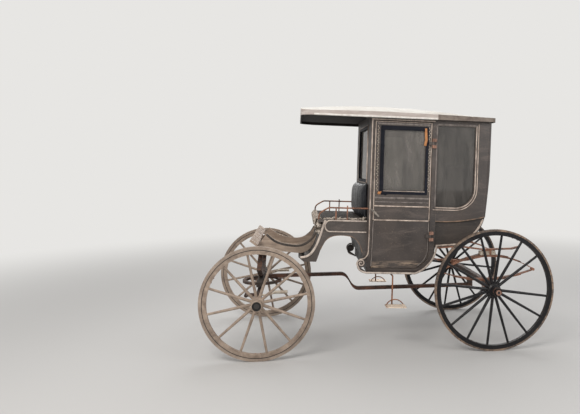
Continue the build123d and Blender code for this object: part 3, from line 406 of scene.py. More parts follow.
class Look(Nodes):
    """A material in the making, with ways to lay patterns, colours and relief on it."""

    def __init__(self, name):
        super().__init__(bpy.data.materials.new(f"{name}_look"))
        self.shader = self.tree.nodes["Principled BSDF"]
        self.surface = self.tree.nodes["Material Output"].inputs["Surface"]
        self.place = self.add("TexCoord").outputs["Object"]

    def noise(self, scale, detail=4.0, rough=0.55, stretch=None, distortion=0.0):
        """Cloudy pattern, drawn out along an axis where its stretch is below 1."""
        place = self.place
        if stretch:
            place = self.add("Mapping", {"Vector": place, "Scale": stretch}).outputs["Vector"]
        return self.add("TexNoise", {
            "Vector": place, "Scale": scale, "Detail": detail, "Roughness": rough, "Distortion": distortion,
        }).outputs["Fac"]

    def weave(self, scale, direction):
        """Fine parallel threads."""
        return self.add(
            "TexWave", {"Vector": self.place, "Scale": scale}, wave_type="BANDS", bands_direction=direction,
        ).outputs["Fac"]

    def band(self, value, low, high, out_low=0.0, out_high=1.0):
        """The stretch of a value from low to high, spread from out_low to out_high and held beyond."""
        return self.add("MapRange", {
            "Value": value, "From Min": low, "From Max": high, "To Min": out_low, "To Max": out_high,
        }, clamp=True).outputs["Result"]

    def blend(self, share, first, second):
        """Two colours mixed, from all of the first to all of the second."""
        return self.add("Mix", {0: share, 6: first, 7: second}, data_type="RGBA").outputs[2]

    def world(self, output, axis):
        """The surface's world Position or Normal along one axis."""
        geometry = self.add("NewGeometry")
        return self.add("SeparateXYZ", {0: geometry.outputs[output]}).outputs[axis]

    def facing(self, axis, low, high):
        """From 0 to 1 as the surface turns along one world axis."""
        return self.band(self.world("Normal", axis), low, high)

    def along(self, axis, low, high):
        """From 0 to 1 along one world axis."""
        return self.band(self.world("Position", axis), low, high)

    def inward(self):
        """1 where the surface looks toward the middle plane of the vehicle."""
        across = self.maths("MULTIPLY", self.world("Normal", "Y"), self.world("Position", "Y"))
        return self.band(across, -0.05, -0.10)

    def edges(self, radius=0.004):
        """White where an edge is exposed, from the difference between a rounded and the true normal."""
        bevel = self.add("Bevel", {"Radius": radius}, samples=4).outputs["Normal"]
        true = self.add("NewGeometry").outputs["Normal"]
        alike = self.add("VectorMath", {0: bevel, 1: true}, operation="DOT_PRODUCT").outputs["Value"]
        return self.band(self.maths("SUBTRACT", 1.0, alike), 0.02, 0.35)

    def bump(self, height, strength, distance):
        """Relief of the surface."""
        node = self.add("Bump", {"Height": height, "Strength": strength, "Distance": distance})
        self.feed(self.shader.inputs["Normal"], node.outputs["Normal"])

    def finish(self, colour, rough, **sockets):
        """The material, with its colour, roughness and any other of the shader's sockets."""
        self.feed(self.shader.inputs["Base Color"], colour)
        self.feed(self.shader.inputs["Roughness"], rough)
        for key, value in sockets.items():
            self.feed(self.shader.inputs[key.replace("_", " ")], value)
        return self.owner


def toned(colour, factor):
    """A colour made lighter or darker, with no part of it above 1."""
    return tuple(min(1.0, c * factor) for c in colour)


# Camera and light

# the photograph's width and the focal length in its pixels
PHOTO_WIDTH = 580
FOCAL_PX = 558.4
SENSOR = 36.0
CAMERA_PLACE = (-0.702, -5.403, 1.630)
CAMERA_YAW = 0.0998
CAMERA_DOWN = 0.0355
CAMERA_ROLL = 0.0109
# the picture is a part of a wider one: its middle lies off the lens axis
CAMERA_SHIFT = (-0.1086, -0.0365)

ROOM_LIGHT = (1.0, 0.985, 0.96)
ROOM_STRENGTH = 0.42
BACKGROUND = (0.80, 0.79, 0.77)
FLOOR_SIZE = 60.0
FLOOR_COLOUR = (0.56, 0.555, 0.55)
FLOOR_ROUGHNESS = 0.85
# distances from the middle between which the floor fades into the background
FLOOR_FADE = (2.6, 9.0)
WHITE = (1.0, 1.0, 1.0)
# name, place, aim, size, power and colour
LAMPS = (
    ("key", (-2.6, -4.2, 4.6), (0.0, 0.0, 1.0), (3.0, 2.0), 190, (1.0, 0.97, 0.93)),
    ("fill", (3.6, -4.0, 2.6), (0.4, 0.0, 1.0), (3.0, 2.5), 70, WHITE),
    ("top", (0.0, 1.2, 5.0), (0.0, 0.0, 1.0), (4.0, 3.0), 88, WHITE),
    ("back", (1.5, 5.0, 3.2), (0.0, 0.0, 1.0), (4.0, 2.5), 90, WHITE),
)


def make_camera():
    """The photograph's camera."""
    data = bpy.data.cameras.new("photo_camera")
    data.sensor_width = SENSOR
    data.lens = SENSOR * FOCAL_PX / PHOTO_WIDTH
    data.shift_x, data.shift_y = CAMERA_SHIFT
    camera = bpy.data.objects.new("photo_camera", data)
    bpy.context.collection.objects.link(camera)
    turn = Matrix.Rotation(-CAMERA_YAW, 4, "Z") @ Matrix.Rotation(math.pi / 2 - CAMERA_DOWN, 4, "X")
    camera.matrix_world = Matrix.Translation(CAMERA_PLACE) @ turn @ Matrix.Rotation(-CAMERA_ROLL, 4, "Z")
    bpy.context.scene.camera = camera


def make_lamps():
    """Soft rectangular studio lamps."""
    for name, place, aim, size, power, colour in LAMPS:
        data = bpy.data.lights.new(name, "AREA")
        data.shape = "RECTANGLE"
        data.size, data.size_y = size
        data.energy = power
        data.color = colour
        lamp = bpy.data.objects.new(name, data)
        lamp.location = place
        lamp.rotation_euler = (Vector(aim) - Vector(place)).to_track_quat("-Z", "Y").to_euler()
        bpy.context.collection.objects.link(lamp)


def make_world():
    """Even room light; the camera, glass and metal see a pale background instead."""
    world = bpy.data.worlds.new("studio")
    bpy.context.scene.world = world
    n = Nodes(world)
    n.tree.nodes.clear()
    lit = n.add("Background", {"Color": ROOM_LIGHT, "Strength": ROOM_STRENGTH})
    seen = n.add("Background", {"Color": BACKGROUND, "Strength": 1.0})
    rays = n.add("LightPath").outputs
    shown = n.maths("MAXIMUM", rays["Is Camera Ray"], rays["Is Glossy Ray"])
    shown = n.maths("MAXIMUM", shown, rays["Is Transmission Ray"])
    n.add("OutputWorld", {"Surface": n.mix(shown, lit.outputs[0], seen.outputs[0])})


def make_floor():
    """Pale floor that keeps the shadow and fades into the background far out."""
    bpy.ops.mesh.primitive_plane_add(size=FLOOR_SIZE, location=(0, 0, 0))
    floor = bpy.context.object
    floor.name = "stage_floor"
    n = Look("stage_floor")
    floor.data.materials.append(n.finish(FLOOR_COLOUR, FLOOR_ROUGHNESS))
    spot = n.add("NewGeometry").outputs["Position"]
    reach = n.add("VectorMath", {0: spot}, operation="LENGTH").outputs["Value"]
    low, high = FLOOR_FADE
    far = n.add(
        "MapRange", {"Value": reach, "From Min": low, "From Max": high}, interpolation_type="SMOOTHSTEP",
    ).outputs["Result"]
    glow = n.add("Emission", {"Color": BACKGROUND}).outputs[0]
    share = n.maths("MULTIPLY", far, n.add("LightPath").outputs["Is Camera Ray"])
    n.feed(n.surface, n.mix(share, n.shader.outputs[0], glow))


# Makers of materials

# near-black painted shade for faces where no light falls; a dark colour that is painted shade on the drip
# rails' inward faces and dirt on the seat's top; and the cream paint of the step treads
PAINTED_SHADE = (0.016, 0.013, 0.012)
SHADE_AND_DIRT = (0.02, 0.016, 0.014)
CREAM = (0.84, 0.71, 0.58)
# where the roof's side turns from canvas to paint, and the height of the step treads
ROOF_PAINT_X = 0.5375
TREAD_TOP = 0.3925


def weathered_paint(
    name, base, brown, worn, wear=0.5, painted_shade_inside=False, painted_shade_below=None, scratched_below=None,
    dark_top=False, gloss=(0.36, 0.62), shine=0.4,
):
    """Old coach paint: patchy colour, dull bloom, fine specks and edges worn to the primer."""
    n = Look(name)
    patches = n.band(n.noise(2.6, 6.0, 0.62, stretch=(1.0, 1.0, 0.55)), 0.38, 0.66)
    colour = n.blend(patches, base, brown)
    streaks = n.band(n.noise(9.0, 5.0, 0.6, stretch=(1.0, 1.0, 0.16)), 0.5, 0.78, 0.0, 0.35)
    colour = n.blend(streaks, colour, toned(base, 1.7))
    bloom = n.band(n.noise(1.5, 4.0, 0.55, distortion=0.5), 0.4, 0.66, 0.0, 0.75)
    colour = n.blend(bloom, colour, toned(base, 2.3))
    smears = n.noise(6.0, 7.0, 0.7, stretch=(0.35, 1.0, 1.6), distortion=0.8)
    colour = n.blend(n.band(smears, 0.52, 0.72, 0.0, 0.55), colour, toned(brown, 2.3))
    speck = n.band(n.noise(120.0, 2.0, 0.7), 0.64, 0.72, 0.0, 0.5)
    colour = n.blend(speck, colour, worn)
    scuffs = n.band(n.noise(14.0, 8.0, 0.72), 0.62, 0.74, 0.0, 0.6)
    colour = n.blend(n.maths("MULTIPLY", scuffs, wear * 0.5), colour, worn)
    edge = n.maths("MULTIPLY", n.edges(), n.band(n.noise(18.0, 4.0, 0.6), 0.42, 0.62, 0.15, 1.0))
    colour = n.blend(n.maths("MULTIPLY", edge, wear), colour, worn)
    rough = n.band(n.noise(5.0, 4.0, 0.6), 0.3, 0.7, *gloss)
    # painted shade: faces turned sideways are set near-black
    if painted_shade_inside:
        sideways = n.maths("MAXIMUM", n.facing("Y", 0.4, 0.7), n.facing("Y", -0.4, -0.7))
        colour = n.blend(sideways, PAINTED_SHADE, colour)
    # painted shade: all below the given height is set near-black
    if painted_shade_below is not None:
        colour = n.blend(n.along("Z", painted_shade_below, painted_shade_below + 0.01), PAINTED_SHADE, colour)
    if scratched_below is not None:
        scratch = n.band(n.noise(11.0, 8.0, 0.75, stretch=(0.4, 1.0, 2.2)), 0.47, 0.6)
        low = n.along("Z", scratched_below, scratched_below - 0.03)
        colour = n.blend(n.maths("MULTIPLY", scratch, low), colour, worn)
    if dark_top:
        upward = n.facing("Z", 0.6, 0.8)
        top = n.blend(n.band(n.noise(20.0, 8.0, 0.7), 0.45, 0.7), SHADE_AND_DIRT, (0.075, 0.058, 0.046))
        colour = n.blend(upward, colour, top)
        rough = n.maths("MAXIMUM", rough, n.maths("MULTIPLY", upward, 0.92))
    n.bump(n.noise(60.0, 6.0, 0.7), 0.25, 0.0015)
    return n.finish(colour, rough, Specular_IOR_Level=shine)


def worn_bead(name, light, dark, painted_shade_inside=False):
    """Raised moulding, paint rubbed through to pale primer along its crown."""
    n = Look(name)
    rub = n.band(n.noise(22.0, 6.0, 0.7, stretch=(1.0, 1.0, 0.5)), 0.36, 0.62)
    colour = n.blend(rub, dark, light)
    # painted shade: faces turned toward the middle are darkened
    if painted_shade_inside:
        colour = n.blend(n.inward(), colour, SHADE_AND_DIRT)
    n.bump(n.noise(140.0, 3.0, 0.6), 0.3, 0.001)
    return n.finish(colour, n.band(n.noise(30.0), 0.3, 0.7, 0.5, 0.75))


def old_wood(name, light, dark, stretch=(1.0, 1.0, 1.0), scale=14.0):
    """Bare or primed wood with grain streaks and grime."""
    n = Look(name)
    grain = n.noise(scale, 8.0, 0.66, stretch=stretch, distortion=0.6)
    colour = n.blend(n.band(grain, 0.32, 0.7), dark, light)
    grime = n.band(n.noise(5.0, 5.0, 0.6), 0.52, 0.75, 0.0, 0.55)
    colour = n.blend(grime, colour, toned(dark, 0.45))
    edge = n.maths("MULTIPLY", n.edges(0.003), 0.45)
    colour = n.blend(edge, colour, toned(light, 1.25))
    n.bump(grain, 0.35, 0.0015)
    return n.finish(colour, n.band(grain, 0.3, 0.7, 0.55, 0.8))


def rusty_iron(name, rust, dark, amount=0.5, rough=0.72, painted_below=None):
    """Forged iron: rust in patches with a fine granular surface, and cream paint on low treads."""
    n = Look(name)
    patch = n.band(n.noise(11.0, 8.0, 0.68), 0.62 - 0.3 * amount, 0.78 - 0.3 * amount)
    colour = n.blend(patch, dark, rust)
    fine = n.band(n.noise(90.0, 4.0, 0.7), 0.45, 0.7, 0.0, 0.5)
    colour = n.blend(fine, colour, toned(rust, 1.35))
    if painted_below is not None:
        chipped = n.band(n.noise(30.0, 6.0, 0.7), 0.3, 0.48)
        low = n.along("Z", painted_below + 0.001, painted_below)
        colour = n.blend(n.maths("MULTIPLY", low, chipped), colour, CREAM)
    n.bump(n.noise(160.0, 5.0, 0.75), 0.4, 0.001)
    return n.finish(colour, rough, Metallic=0.25)


def canvas(name):
    """Primed roof canvas, off-white with soft stains; brown paint on its rear edge; painted shade,
    near-black with streaks, under it and on its inward faces.
    """
    n = Look(name)
    stain = n.band(n.noise(3.0, 6.0, 0.6), 0.45, 0.75)
    top = n.blend(stain, (0.66, 0.645, 0.61), (0.5, 0.46, 0.41))
    dust = n.band(n.noise(28.0, 5.0, 0.7), 0.5, 0.75, 0.0, 0.45)
    top = n.blend(dust, top, (0.5, 0.45, 0.4))
    runs = n.band(n.noise(9.0, 6.0, 0.7, stretch=(0.4, 1.0, 2.5)), 0.36, 0.66)
    side = n.blend(runs, (0.58, 0.52, 0.49), (0.36, 0.3, 0.27))
    upward = n.facing("Z", 0.3, 0.55)
    colour = n.blend(upward, side, top)
    patches = n.band(n.noise(16.0, 6.0, 0.7), 0.36, 0.64)
    painted = n.blend(patches, (0.13, 0.1, 0.085), (0.24, 0.2, 0.17))
    rear = n.along("X", ROOF_PAINT_X, ROOF_PAINT_X + 0.004)
    colour = n.blend(n.maths("MULTIPLY", rear, n.maths("SUBTRACT", 1.0, upward)), colour, painted)
    # painted shade: faces turned down or toward the middle are set near-black, streaked by noise
    underside_shade = n.band(n.noise(7.0, 6.0, 0.6), 0.35, 0.7)
    underside_shade = n.blend(underside_shade, (0.012, 0.01, 0.009), (0.03, 0.023, 0.02))
    shaded_faces = n.maths("MAXIMUM", n.facing("Z", -0.25, -0.45), n.inward())
    colour = n.blend(shaded_faces, colour, underside_shade)
    n.bump(n.weave(260.0, "X"), 0.15, 0.0008)
    return n.finish(colour, 0.82)


def leather(name, base, light):
    """Old coach leather: creased, dull, lighter in rubbed patches."""
    n = Look(name)
    colour = n.blend(n.band(n.noise(4.5, 5.0, 0.6), 0.48, 0.72), base, light)
    crease = n.noise(26.0, 8.0, 0.7, distortion=1.2)
    cells = n.add("TexVoronoi", {"Vector": n.place, "Scale": 150.0}, feature="DISTANCE_TO_EDGE")
    grain = n.band(cells.outputs["Distance"], 0.0, 0.1, 0.0, 0.25)
    n.bump(n.maths("ADD", n.maths("MULTIPLY", crease, 0.8), grain), 0.5, 0.003)
    return n.finish(colour, n.band(crease, 0.3, 0.7, 0.24, 0.5), Specular_IOR_Level=0.38)


def woven_cloth(name, base, light):
    """Dull woven stuff, lighter in patches."""
    n = Look(name)
    colour = n.blend(n.band(n.noise(5.0, 5.0), 0.4, 0.7), base, light)
    n.bump(n.weave(180.0, "DIAGONAL"), 0.3, 0.001)
    return n.finish(colour, 0.9, Sheen_Weight=0.3, Sheen_Roughness=0.5)


def ragged_cloth(name, dark, light):
    """Torn wadding: pale fluff with dark gaps."""
    n = Look(name)
    tears = n.noise(48.0, 8.0, 0.75, distortion=1.5)
    n.bump(tears, 0.9, 0.006)
    return n.finish(n.blend(n.band(tears, 0.42, 0.56), dark, light), 0.92)


def dusty_glass(name, dust, through):
    """Old window glass: grey, partly clear, with a film of dust in streaks."""
    n = Look(name)
    clear = n.add("BsdfTransparent", {"Color": through}).outputs[0]
    gloss = n.add("BsdfGlossy", {"Roughness": 0.05}).outputs[0]
    film = n.add("BsdfDiffuse", {"Color": (0.34, 0.31, 0.285)}).outputs[0]
    fresnel = n.add("Fresnel", {"IOR": 1.5}).outputs[0]
    pane = n.mix(n.band(fresnel, 0.0, 1.0, 0.05, 0.8), clear, gloss)
    streak = n.noise(16.0, 8.0, 0.75, stretch=(1.0, 1.0, 0.25))
    amount = n.band(streak, 0.35, 0.75, dust * 0.4, dust * 1.5)
    n.feed(n.surface, n.mix(amount, pane, film))
    return n.owner


# Materials

PRIMER = (0.36, 0.27, 0.2)
COACH_COLOURS = ((0.042, 0.036, 0.034), (0.078, 0.062, 0.054), PRIMER)
PAINT = weathered_paint("coach_paint", *COACH_COLOURS)
DOOR_PAINT = weathered_paint("door_paint", *COACH_COLOURS, scratched_below=0.785)
# the cut-under's sideways faces get painted shade
CHEEK_PAINT = weathered_paint(
    "cheek_paint", (0.06, 0.053, 0.05), (0.092, 0.074, 0.064), PRIMER, painted_shade_inside=True,
)
SEAT_PAINT = weathered_paint(
    "seat_paint", (0.05, 0.043, 0.04), (0.085, 0.069, 0.06), PRIMER, dark_top=True,
)
# painted shade: the front wall is near-black below 1.15 m
FRONT_PAINT = weathered_paint(
    "front_paint", (0.034, 0.029, 0.027), (0.06, 0.048, 0.042), (0.3, 0.22, 0.16), painted_shade_below=1.15,
)
# painted shade: a darker copy of the coach paint for the recessed, turned-under lower quarters
SHADED_RECESS_PAINT = weathered_paint(
    "recess_paint", (0.026, 0.022, 0.02), (0.05, 0.04, 0.034), (0.26, 0.19, 0.14),
)
INNER = weathered_paint(
    "inner_paint", (0.02, 0.018, 0.017), (0.035, 0.028, 0.024), (0.16, 0.12, 0.09), 0.3,
)
BLACK = weathered_paint(
    "black_wheel_paint", (0.006, 0.006, 0.007), (0.014, 0.013, 0.014), (0.3, 0.24, 0.19), 0.6,
    gloss=(0.22, 0.46), shine=0.24,
)
SASH = weathered_paint(
    "sash_paint", (0.005, 0.006, 0.01), (0.01, 0.01, 0.014), (0.1, 0.09, 0.09), 0.3,
    gloss=(0.5, 0.7), shine=0.14,
)
BEAD = worn_bead("worn_bead", (0.66, 0.55, 0.47), (0.27, 0.21, 0.175))
DIM_BEAD = worn_bead("dim_bead", (0.26, 0.225, 0.205), (0.095, 0.082, 0.075))
GREY_BEAD = worn_bead("grey_bead", (0.64, 0.55, 0.48), (0.33, 0.27, 0.235))
WORN_EDGE = worn_bead("worn_edge", (0.3, 0.19, 0.12), (0.11, 0.08, 0.062))
# the drip rails' inward faces are darkened as painted shade
WHITE_TRIM = worn_bead("white_trim", (0.8, 0.78, 0.74), (0.62, 0.57, 0.52), painted_shade_inside=True)
OLD_WHITE = worn_bead("old_white_paint", (0.68, 0.62, 0.52), (0.4, 0.3, 0.22))
# painted shade in the hubs' bores and mouths; also the real dark joint between tyre and rim
BORE_SHADE_AND_JOINTS = worn_bead("dark_bore", (0.01, 0.009, 0.008), (0.004, 0.004, 0.004))
BARE = old_wood("bare_wood", (0.46, 0.36, 0.285), (0.2, 0.148, 0.115))
TOE_WOOD = old_wood("toe_wood", (0.5, 0.4, 0.32), (0.24, 0.17, 0.13), stretch=(1.0, 0.1, 1.0))
FOOT_WOOD = old_wood(
    "foot_wood", (0.48, 0.375, 0.295), (0.2, 0.148, 0.115), stretch=(0.16, 1.0, 0.8), scale=20.0,
)
DARK_WOOD = old_wood("dark_boards", (0.06, 0.045, 0.036), (0.025, 0.02, 0.018))
FRONT_TYRE = old_wood("pale_rubber_tyre", (0.43, 0.345, 0.28), (0.22, 0.165, 0.13), scale=9.0)
ORANGE = old_wood("orange_scrap", (0.6, 0.27, 0.1), (0.34, 0.13, 0.045), scale=30.0)
RUST = rusty_iron("copper_rust", (0.34, 0.165, 0.105), (0.1, 0.056, 0.041), 0.7)
HINGE_RUST = rusty_iron("hinge_rust", (0.33, 0.185, 0.135), (0.17, 0.095, 0.07), 0.8)
# painted shade: a darker copy of the rust for the reach, which lies in shade under the body
SHADED_RUST = rusty_iron("dark_rust", (0.15, 0.065, 0.04), (0.05, 0.03, 0.023), 0.6)
STEP_IRON = rusty_iron("step_iron", (0.34, 0.15, 0.08), (0.12, 0.06, 0.04), 0.75, painted_below=TREAD_TOP)
IRON = rusty_iron("dark_iron", (0.16, 0.075, 0.045), (0.035, 0.03, 0.028), 0.4, 0.62)
REAR_TYRE = rusty_iron("iron_tyre", (0.3, 0.21, 0.15), (0.07, 0.055, 0.048), 0.6, 0.6)
NICKEL = rusty_iron("worn_nickel", (0.34, 0.3, 0.26), (0.12, 0.11, 0.1), 0.5, 0.32)
CANVAS = canvas("roof_canvas")
LEATHER = leather("black_leather", (0.004, 0.005, 0.008), (0.02, 0.021, 0.028))
CLOTH = woven_cloth("cabin_cloth", (0.06, 0.042, 0.034), (0.11, 0.08, 0.062))
TAPE = woven_cloth("ragged_tape", (0.03, 0.026, 0.024), (0.16, 0.13, 0.11))
STUFFING = ragged_cloth("seat_stuffing", (0.07, 0.05, 0.038), (0.66, 0.58, 0.5))
GLASS = dusty_glass("dusty_glass", 0.34, (0.52, 0.515, 0.49))
QUARTER_GLASS = dusty_glass("quarter_glass", 0.2, (0.35, 0.34, 0.32))


def both(stem):
    """The left and the right node of one kind."""
    return tuple(f"{stem}_{label}" for label in HANDS)


NODES_OF_LOOK = (
    (PAINT, ("back_wall", "rockers", *both("door_frame"), *both("quarter"))),
    (DOOR_PAINT, both("door")),
    (CHEEK_PAINT, ("cut_under",)),
    (SEAT_PAINT, ("seat_box",)),
    (FRONT_PAINT, ("front_wall",)),
    (SHADED_RECESS_PAINT, both("lower_quarter")),
    (BLACK, both("wheel_rear")),
    (BARE, both("wheel_front")),
    (OLD_WHITE, ("driver_steps",)),
    (TOE_WOOD, ("toe_board",)),
    (FOOT_WOOD, ("footboard",)),
    (DARK_WOOD, ("bench", "bolster", "floor", "head_block")),
    (FRONT_TYRE, both("tyre_front")),
    (REAR_TYRE, both("tyre_rear")),
    (RUST, ("body_irons", "rear_springs", "seat_rails")),
    (HINGE_RUST, ("hinges",)),
    (SHADED_RUST, ("reach",)),
    (STEP_IRON, ("cab_steps",)),
    (IRON, ("couplings", "front_axle", "front_spring", "lower_ring", "rear_axle", "upper_ring")),
    (NICKEL, both("door_handle")),
    (CANVAS, ("roof",)),
    (LEATHER, ("backrest",)),
    (CLOTH, ("bench_cushions",)),
    (GLASS, ("front_glass", "rear_glass", *both("door_glass"))),
    (QUARTER_GLASS, ("quarter_glass",)),
)


def finish_nodes():
    """Every CAD node with its look in all its material slots."""
    for look, nodes in NODES_OF_LOOK:
        for node in nodes:
            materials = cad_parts[node].data.materials
            if not materials:
                materials.append(look)
            for slot in range(len(materials)):
                materials[slot] = look


# Mouldings of the cab

QUARTER_S = (0.190, 0.532)
QUARTER_H = (1.238, 1.955)
QUARTER_TURN = 0.165
QUARTER_TURN_STEPS = 12
PILLAR_S = 1.121
PILLAR_LINE = dense([
    (PILLAR_S, 2.0), *rounded([(PILLAR_S, 0.90), (PILLAR_S, 0.80), (1.150, 0.758), (1.196, 0.750)], 0.05),
])
EAVES_LINE = dense([(0.560, 1.996), (1.128, 1.996)])
QUARTER_HEAD_LINE = dense([(0.532, 1.973), (0.180, 1.973)])
BELT_LINE = arc((0.078, 1.158), (0.305, 1.116), (0.532, 1.108))
LOWER_LINE = [*arc((0.092, 1.136), (0.164, 1.012), (0.306, 0.904)), (0.400, 0.896), (0.514, 0.886)]
ROCKER_LINE = [(0.509, 0.884), *dense([
    *arc((0.511, 0.868), (0.574, 0.708), (0.688, 0.631), 16),
    *smoothed([(1.130, 0.631), (1.163, 0.640), (1.192, 0.657), (1.2065, 0.690)]),
])]
# the scroll at the rocker's front end winds inward from its outer radius
SCROLL_CENTRE = (1.180, 0.715)
SCROLL_OUTER = 0.0375
SCROLL_INNER = 0.0060
SCROLL_START = math.radians(-40)
SCROLL_SWEEP = math.radians(560)
SCROLL_STEPS = 60

DOOR_REAR = 0.591
DOOR_FRONT = 1.090
DOOR_HEAD = 1.978
DOOR_BELT = 1.108
PANEL_TOP = 1.100
PANEL_CORNER = arc((0.594, 0.815), (0.622, 0.750), (0.672, 0.700))
SASH_OUTER = rounded(box_path(0.616, 1.046, 1.338, 1.942), 0.012, closed=True)
SASH_INNER = rounded(box_path(0.640, 1.012, 1.372, 1.905), 0.012, closed=True)
SASH_SILL = [(1.012, 1.366), (0.640, 1.366)]
# the two rows of tacks zigzag by the sway
TACK_ROWS = (1.066, 0.6065)
TACK_FOOT = 1.372
TACK_STEP = 0.0160
TACK_SWAY = 0.0035
TACKS = 36
TACK_HEAD = [(0, 0.0052), (0.0020, 0.0046), (0.0034, 0.0018)]
REAR_SCRAP = [(0.644, 1.928), (0.640, 1.880), (0.636, 1.826), (0.646, 1.775)]
FRONT_SCRAP = [(1.056, 1.352), (1.046, 1.346), (1.024, 1.352)]
RAG = [(1.030, 1.340), (1.012, 1.352), (0.990, 1.342), (0.972, 1.352)]


def quarter_window(grow, foot_only=False):
    """Outline of the quarter window moved outward, or only its rear side, round corner and foot."""
    rear, front = QUARTER_S[0] - grow, QUARTER_S[1] + grow
    foot, head = QUARTER_H[0] - grow, QUARTER_H[1] + grow
    radius = QUARTER_TURN + grow
    angles = [math.pi + math.pi / 2 * k / QUARTER_TURN_STEPS for k in range(QUARTER_TURN_STEPS + 1)]
    corner = [(rear + radius + radius * math.cos(t), foot + radius + radius * math.sin(t)) for t in angles]
    if foot_only:
        return dense([(rear, head), *corner, (front, foot)])
    return dense([*corner, (front, foot), (front, head), (rear, head)], closed=True)


def cab_beads(label, hand):
    """Fixed mouldings of one side of the cab: bright ones, dim ones at the window and a worn belt."""
    face = cab_side(hand)
    beaded(
        f"cab_beads_{label}", BEAD, "body",
        (PILLAR_LINE, face, 0.011, 0.007),
        (quarter_window(0.009, foot_only=True), face, 0.010, 0.007),
        (quarter_window(0.028, foot_only=True), face, 0.009, 0.006),
        (EAVES_LINE, face, 0.014, 0.010),
        (LOWER_LINE, cab_side(hand, RECESS), 0.018, 0.013),
    )
    beaded(
        f"window_rails_{label}", DIM_BEAD, "body",
        (quarter_window(0.010), face, 0.010, 0.005, True),
        (QUARTER_HEAD_LINE, face, 0.008, 0.004),
    )
    beaded(f"belt_edge_{label}", WORN_EDGE, "body", (BELT_LINE, face, 0.010, 0.005))


def rocker_bead(label, hand):
    """Pale moulding from the lower quarter down round the door's foot and forward into the scroll."""
    face = rocker_face(hand)
    middle_s, middle_h = SCROLL_CENTRE
    coil = []
    for k in range(SCROLL_STEPS + 1):
        t = k / SCROLL_STEPS
        angle = SCROLL_START + SCROLL_SWEEP * t
        radius = SCROLL_OUTER - (SCROLL_OUTER - SCROLL_INNER) * t
        coil.append((middle_s + radius * math.cos(angle), middle_h + radius * math.sin(angle)))
    beaded(
        f"rocker_bead_{label}", GREY_BEAD, "body",
        (ROCKER_LINE, face, 0.017, 0.010),
        (coil, face, 0.0135, 0.011),
    )


def door_line(h, inset=0.0):
    """A level line across the door, its ends that far inside the door's edge mouldings."""
    return [(DOOR_REAR + inset, h), (DOOR_FRONT - inset, h)]


def door_beads(label, hand):
    """Mouldings of one door: bright edges and belt, dim rails over and under the sash, a dim panel."""
    face = cab_side(hand)
    door = f"door_{label}"
    beaded(
        f"door_beads_{label}", BEAD, door,
        (dense([(DOOR_FRONT, DOOR_HEAD), (DOOR_FRONT, DOOR_BELT)]), face, 0.008, 0.005),
        (dense([(DOOR_REAR, DOOR_HEAD), (DOOR_REAR, DOOR_BELT)]), face, 0.008, 0.005),
        (dense(door_line(DOOR_HEAD - 0.002)), face, 0.006, 0.004),
        (door_line(1.232, 0.006), face, 0.013, 0.009),
        (door_line(DOOR_BELT, 0.006), face, 0.013, 0.009),
    )
    beaded(
        f"door_rails_{label}", DIM_BEAD, door,
        (dense([(DOOR_REAR, PANEL_TOP), (DOOR_REAR, 0.835), *PANEL_CORNER]), face, 0.008, 0.005),
        (dense([(DOOR_FRONT, PANEL_TOP), (DOOR_FRONT, 0.690)]), face, 0.009, 0.006),
        (door_line(1.304, 0.010), face, 0.018, 0.006),
        (door_line(1.268, 0.010), face, 0.010, 0.005),
        (dense(door_line(1.958, 0.016)), face, 0.018, 0.005),
    )


def sash(label, hand):
    """Dark frame round the door's window, a thin light bead under the glass and two zigzags of tacks."""
    face = cab_side(hand)
    door = f"door_{label}"
    Shape().plate(SASH_OUTER, SASH_INNER, face, low=-0.016, high=0.004).piece(
        f"sash_frame_{label}", SASH, door,
    )
    beaded(f"sash_bead_{label}", BEAD, door, (SASH_SILL, cab_side(hand, -0.003), 0.006, 0.003))
    tacks = Shape()
    for s in TACK_ROWS:
        for k in range(TACKS):
            place = face(s + (TACK_SWAY if k % 2 else -TACK_SWAY), TACK_FOOT + TACK_STEP * k, -0.001)
            tacks.turned(place, SIDEWAYS * hand, TACK_HEAD, 6)
    tacks.piece(f"sash_tacks_{label}", OLD_WHITE, door)


def window_scraps(label, hand):
    """Orange scraps of webbing at two corners of the door's window, and a dark rag beside one."""
    face = cab_side(hand)
    door = f"door_{label}"
    scraps = ((REAR_SCRAP, face, 0.024, 0.007), (FRONT_SCRAP, face, 0.026, 0.007))
    beaded(f"window_scraps_{label}", ORANGE, door, *scraps)
    beaded(f"window_rag_{label}", SASH, door, (RAG, face, 0.030, 0.009))


def back_beads():
    """Mouldings of the cab's back: window frame, two stiles, and the rails at the belt and the eaves."""
    window = rounded(box_path(-0.222, 0.222, 1.578, 1.862), 0.06, closed=True)
    stiles = [[(y, 1.985), (y, REAR_STRAIGHT), (y, 1.165)] for y in (-0.420, 0.420)]
    rails = [[(-0.462, h), (0.462, h)] for h in (1.160, 1.990)]
    beaded(
        "back_beads", BEAD, "body",
        (window, cab_back, 0.014, 0.007, True),
        *((stile, cab_back, 0.010, 0.005) for stile in stiles),
        *((rail, cab_back, 0.014, 0.008) for rail in rails),
    )


def front_window_frame():
    """Dark frame of the window behind the driver, with a light bead around it."""
    outer = rounded(box_path(-0.335, 0.335, 1.425, 1.955), 0.03, closed=True)
    inner = rounded(box_path(-0.305, 0.305, 1.455, 1.925), 0.03, closed=True)
    Shape().plate(outer, inner, cab_nose, low=-0.012, high=0.005).piece("front_window_frame", SASH, "body")
    beaded("front_window_bead", BEAD, "body", (outer, cab_nose, 0.008, 0.008, True))


# Trim of the roof, the driver's seat and the footboard

DRIP_Y = 0.588
DRIP_LINE = [(0.551, 2.012), (0.560, 2.012), (1.636, 2.012)]
# middle of the broad moulding from the seat's front corner down the sweep
SWEEP_LINE = smoothed([
    (1.506, 1.092), (1.527, 1.026), (1.546, 0.960), (1.569, 0.893), (1.598, 0.832), (1.632, 0.788),
    (1.670, 0.766), (1.716, 0.757),
])
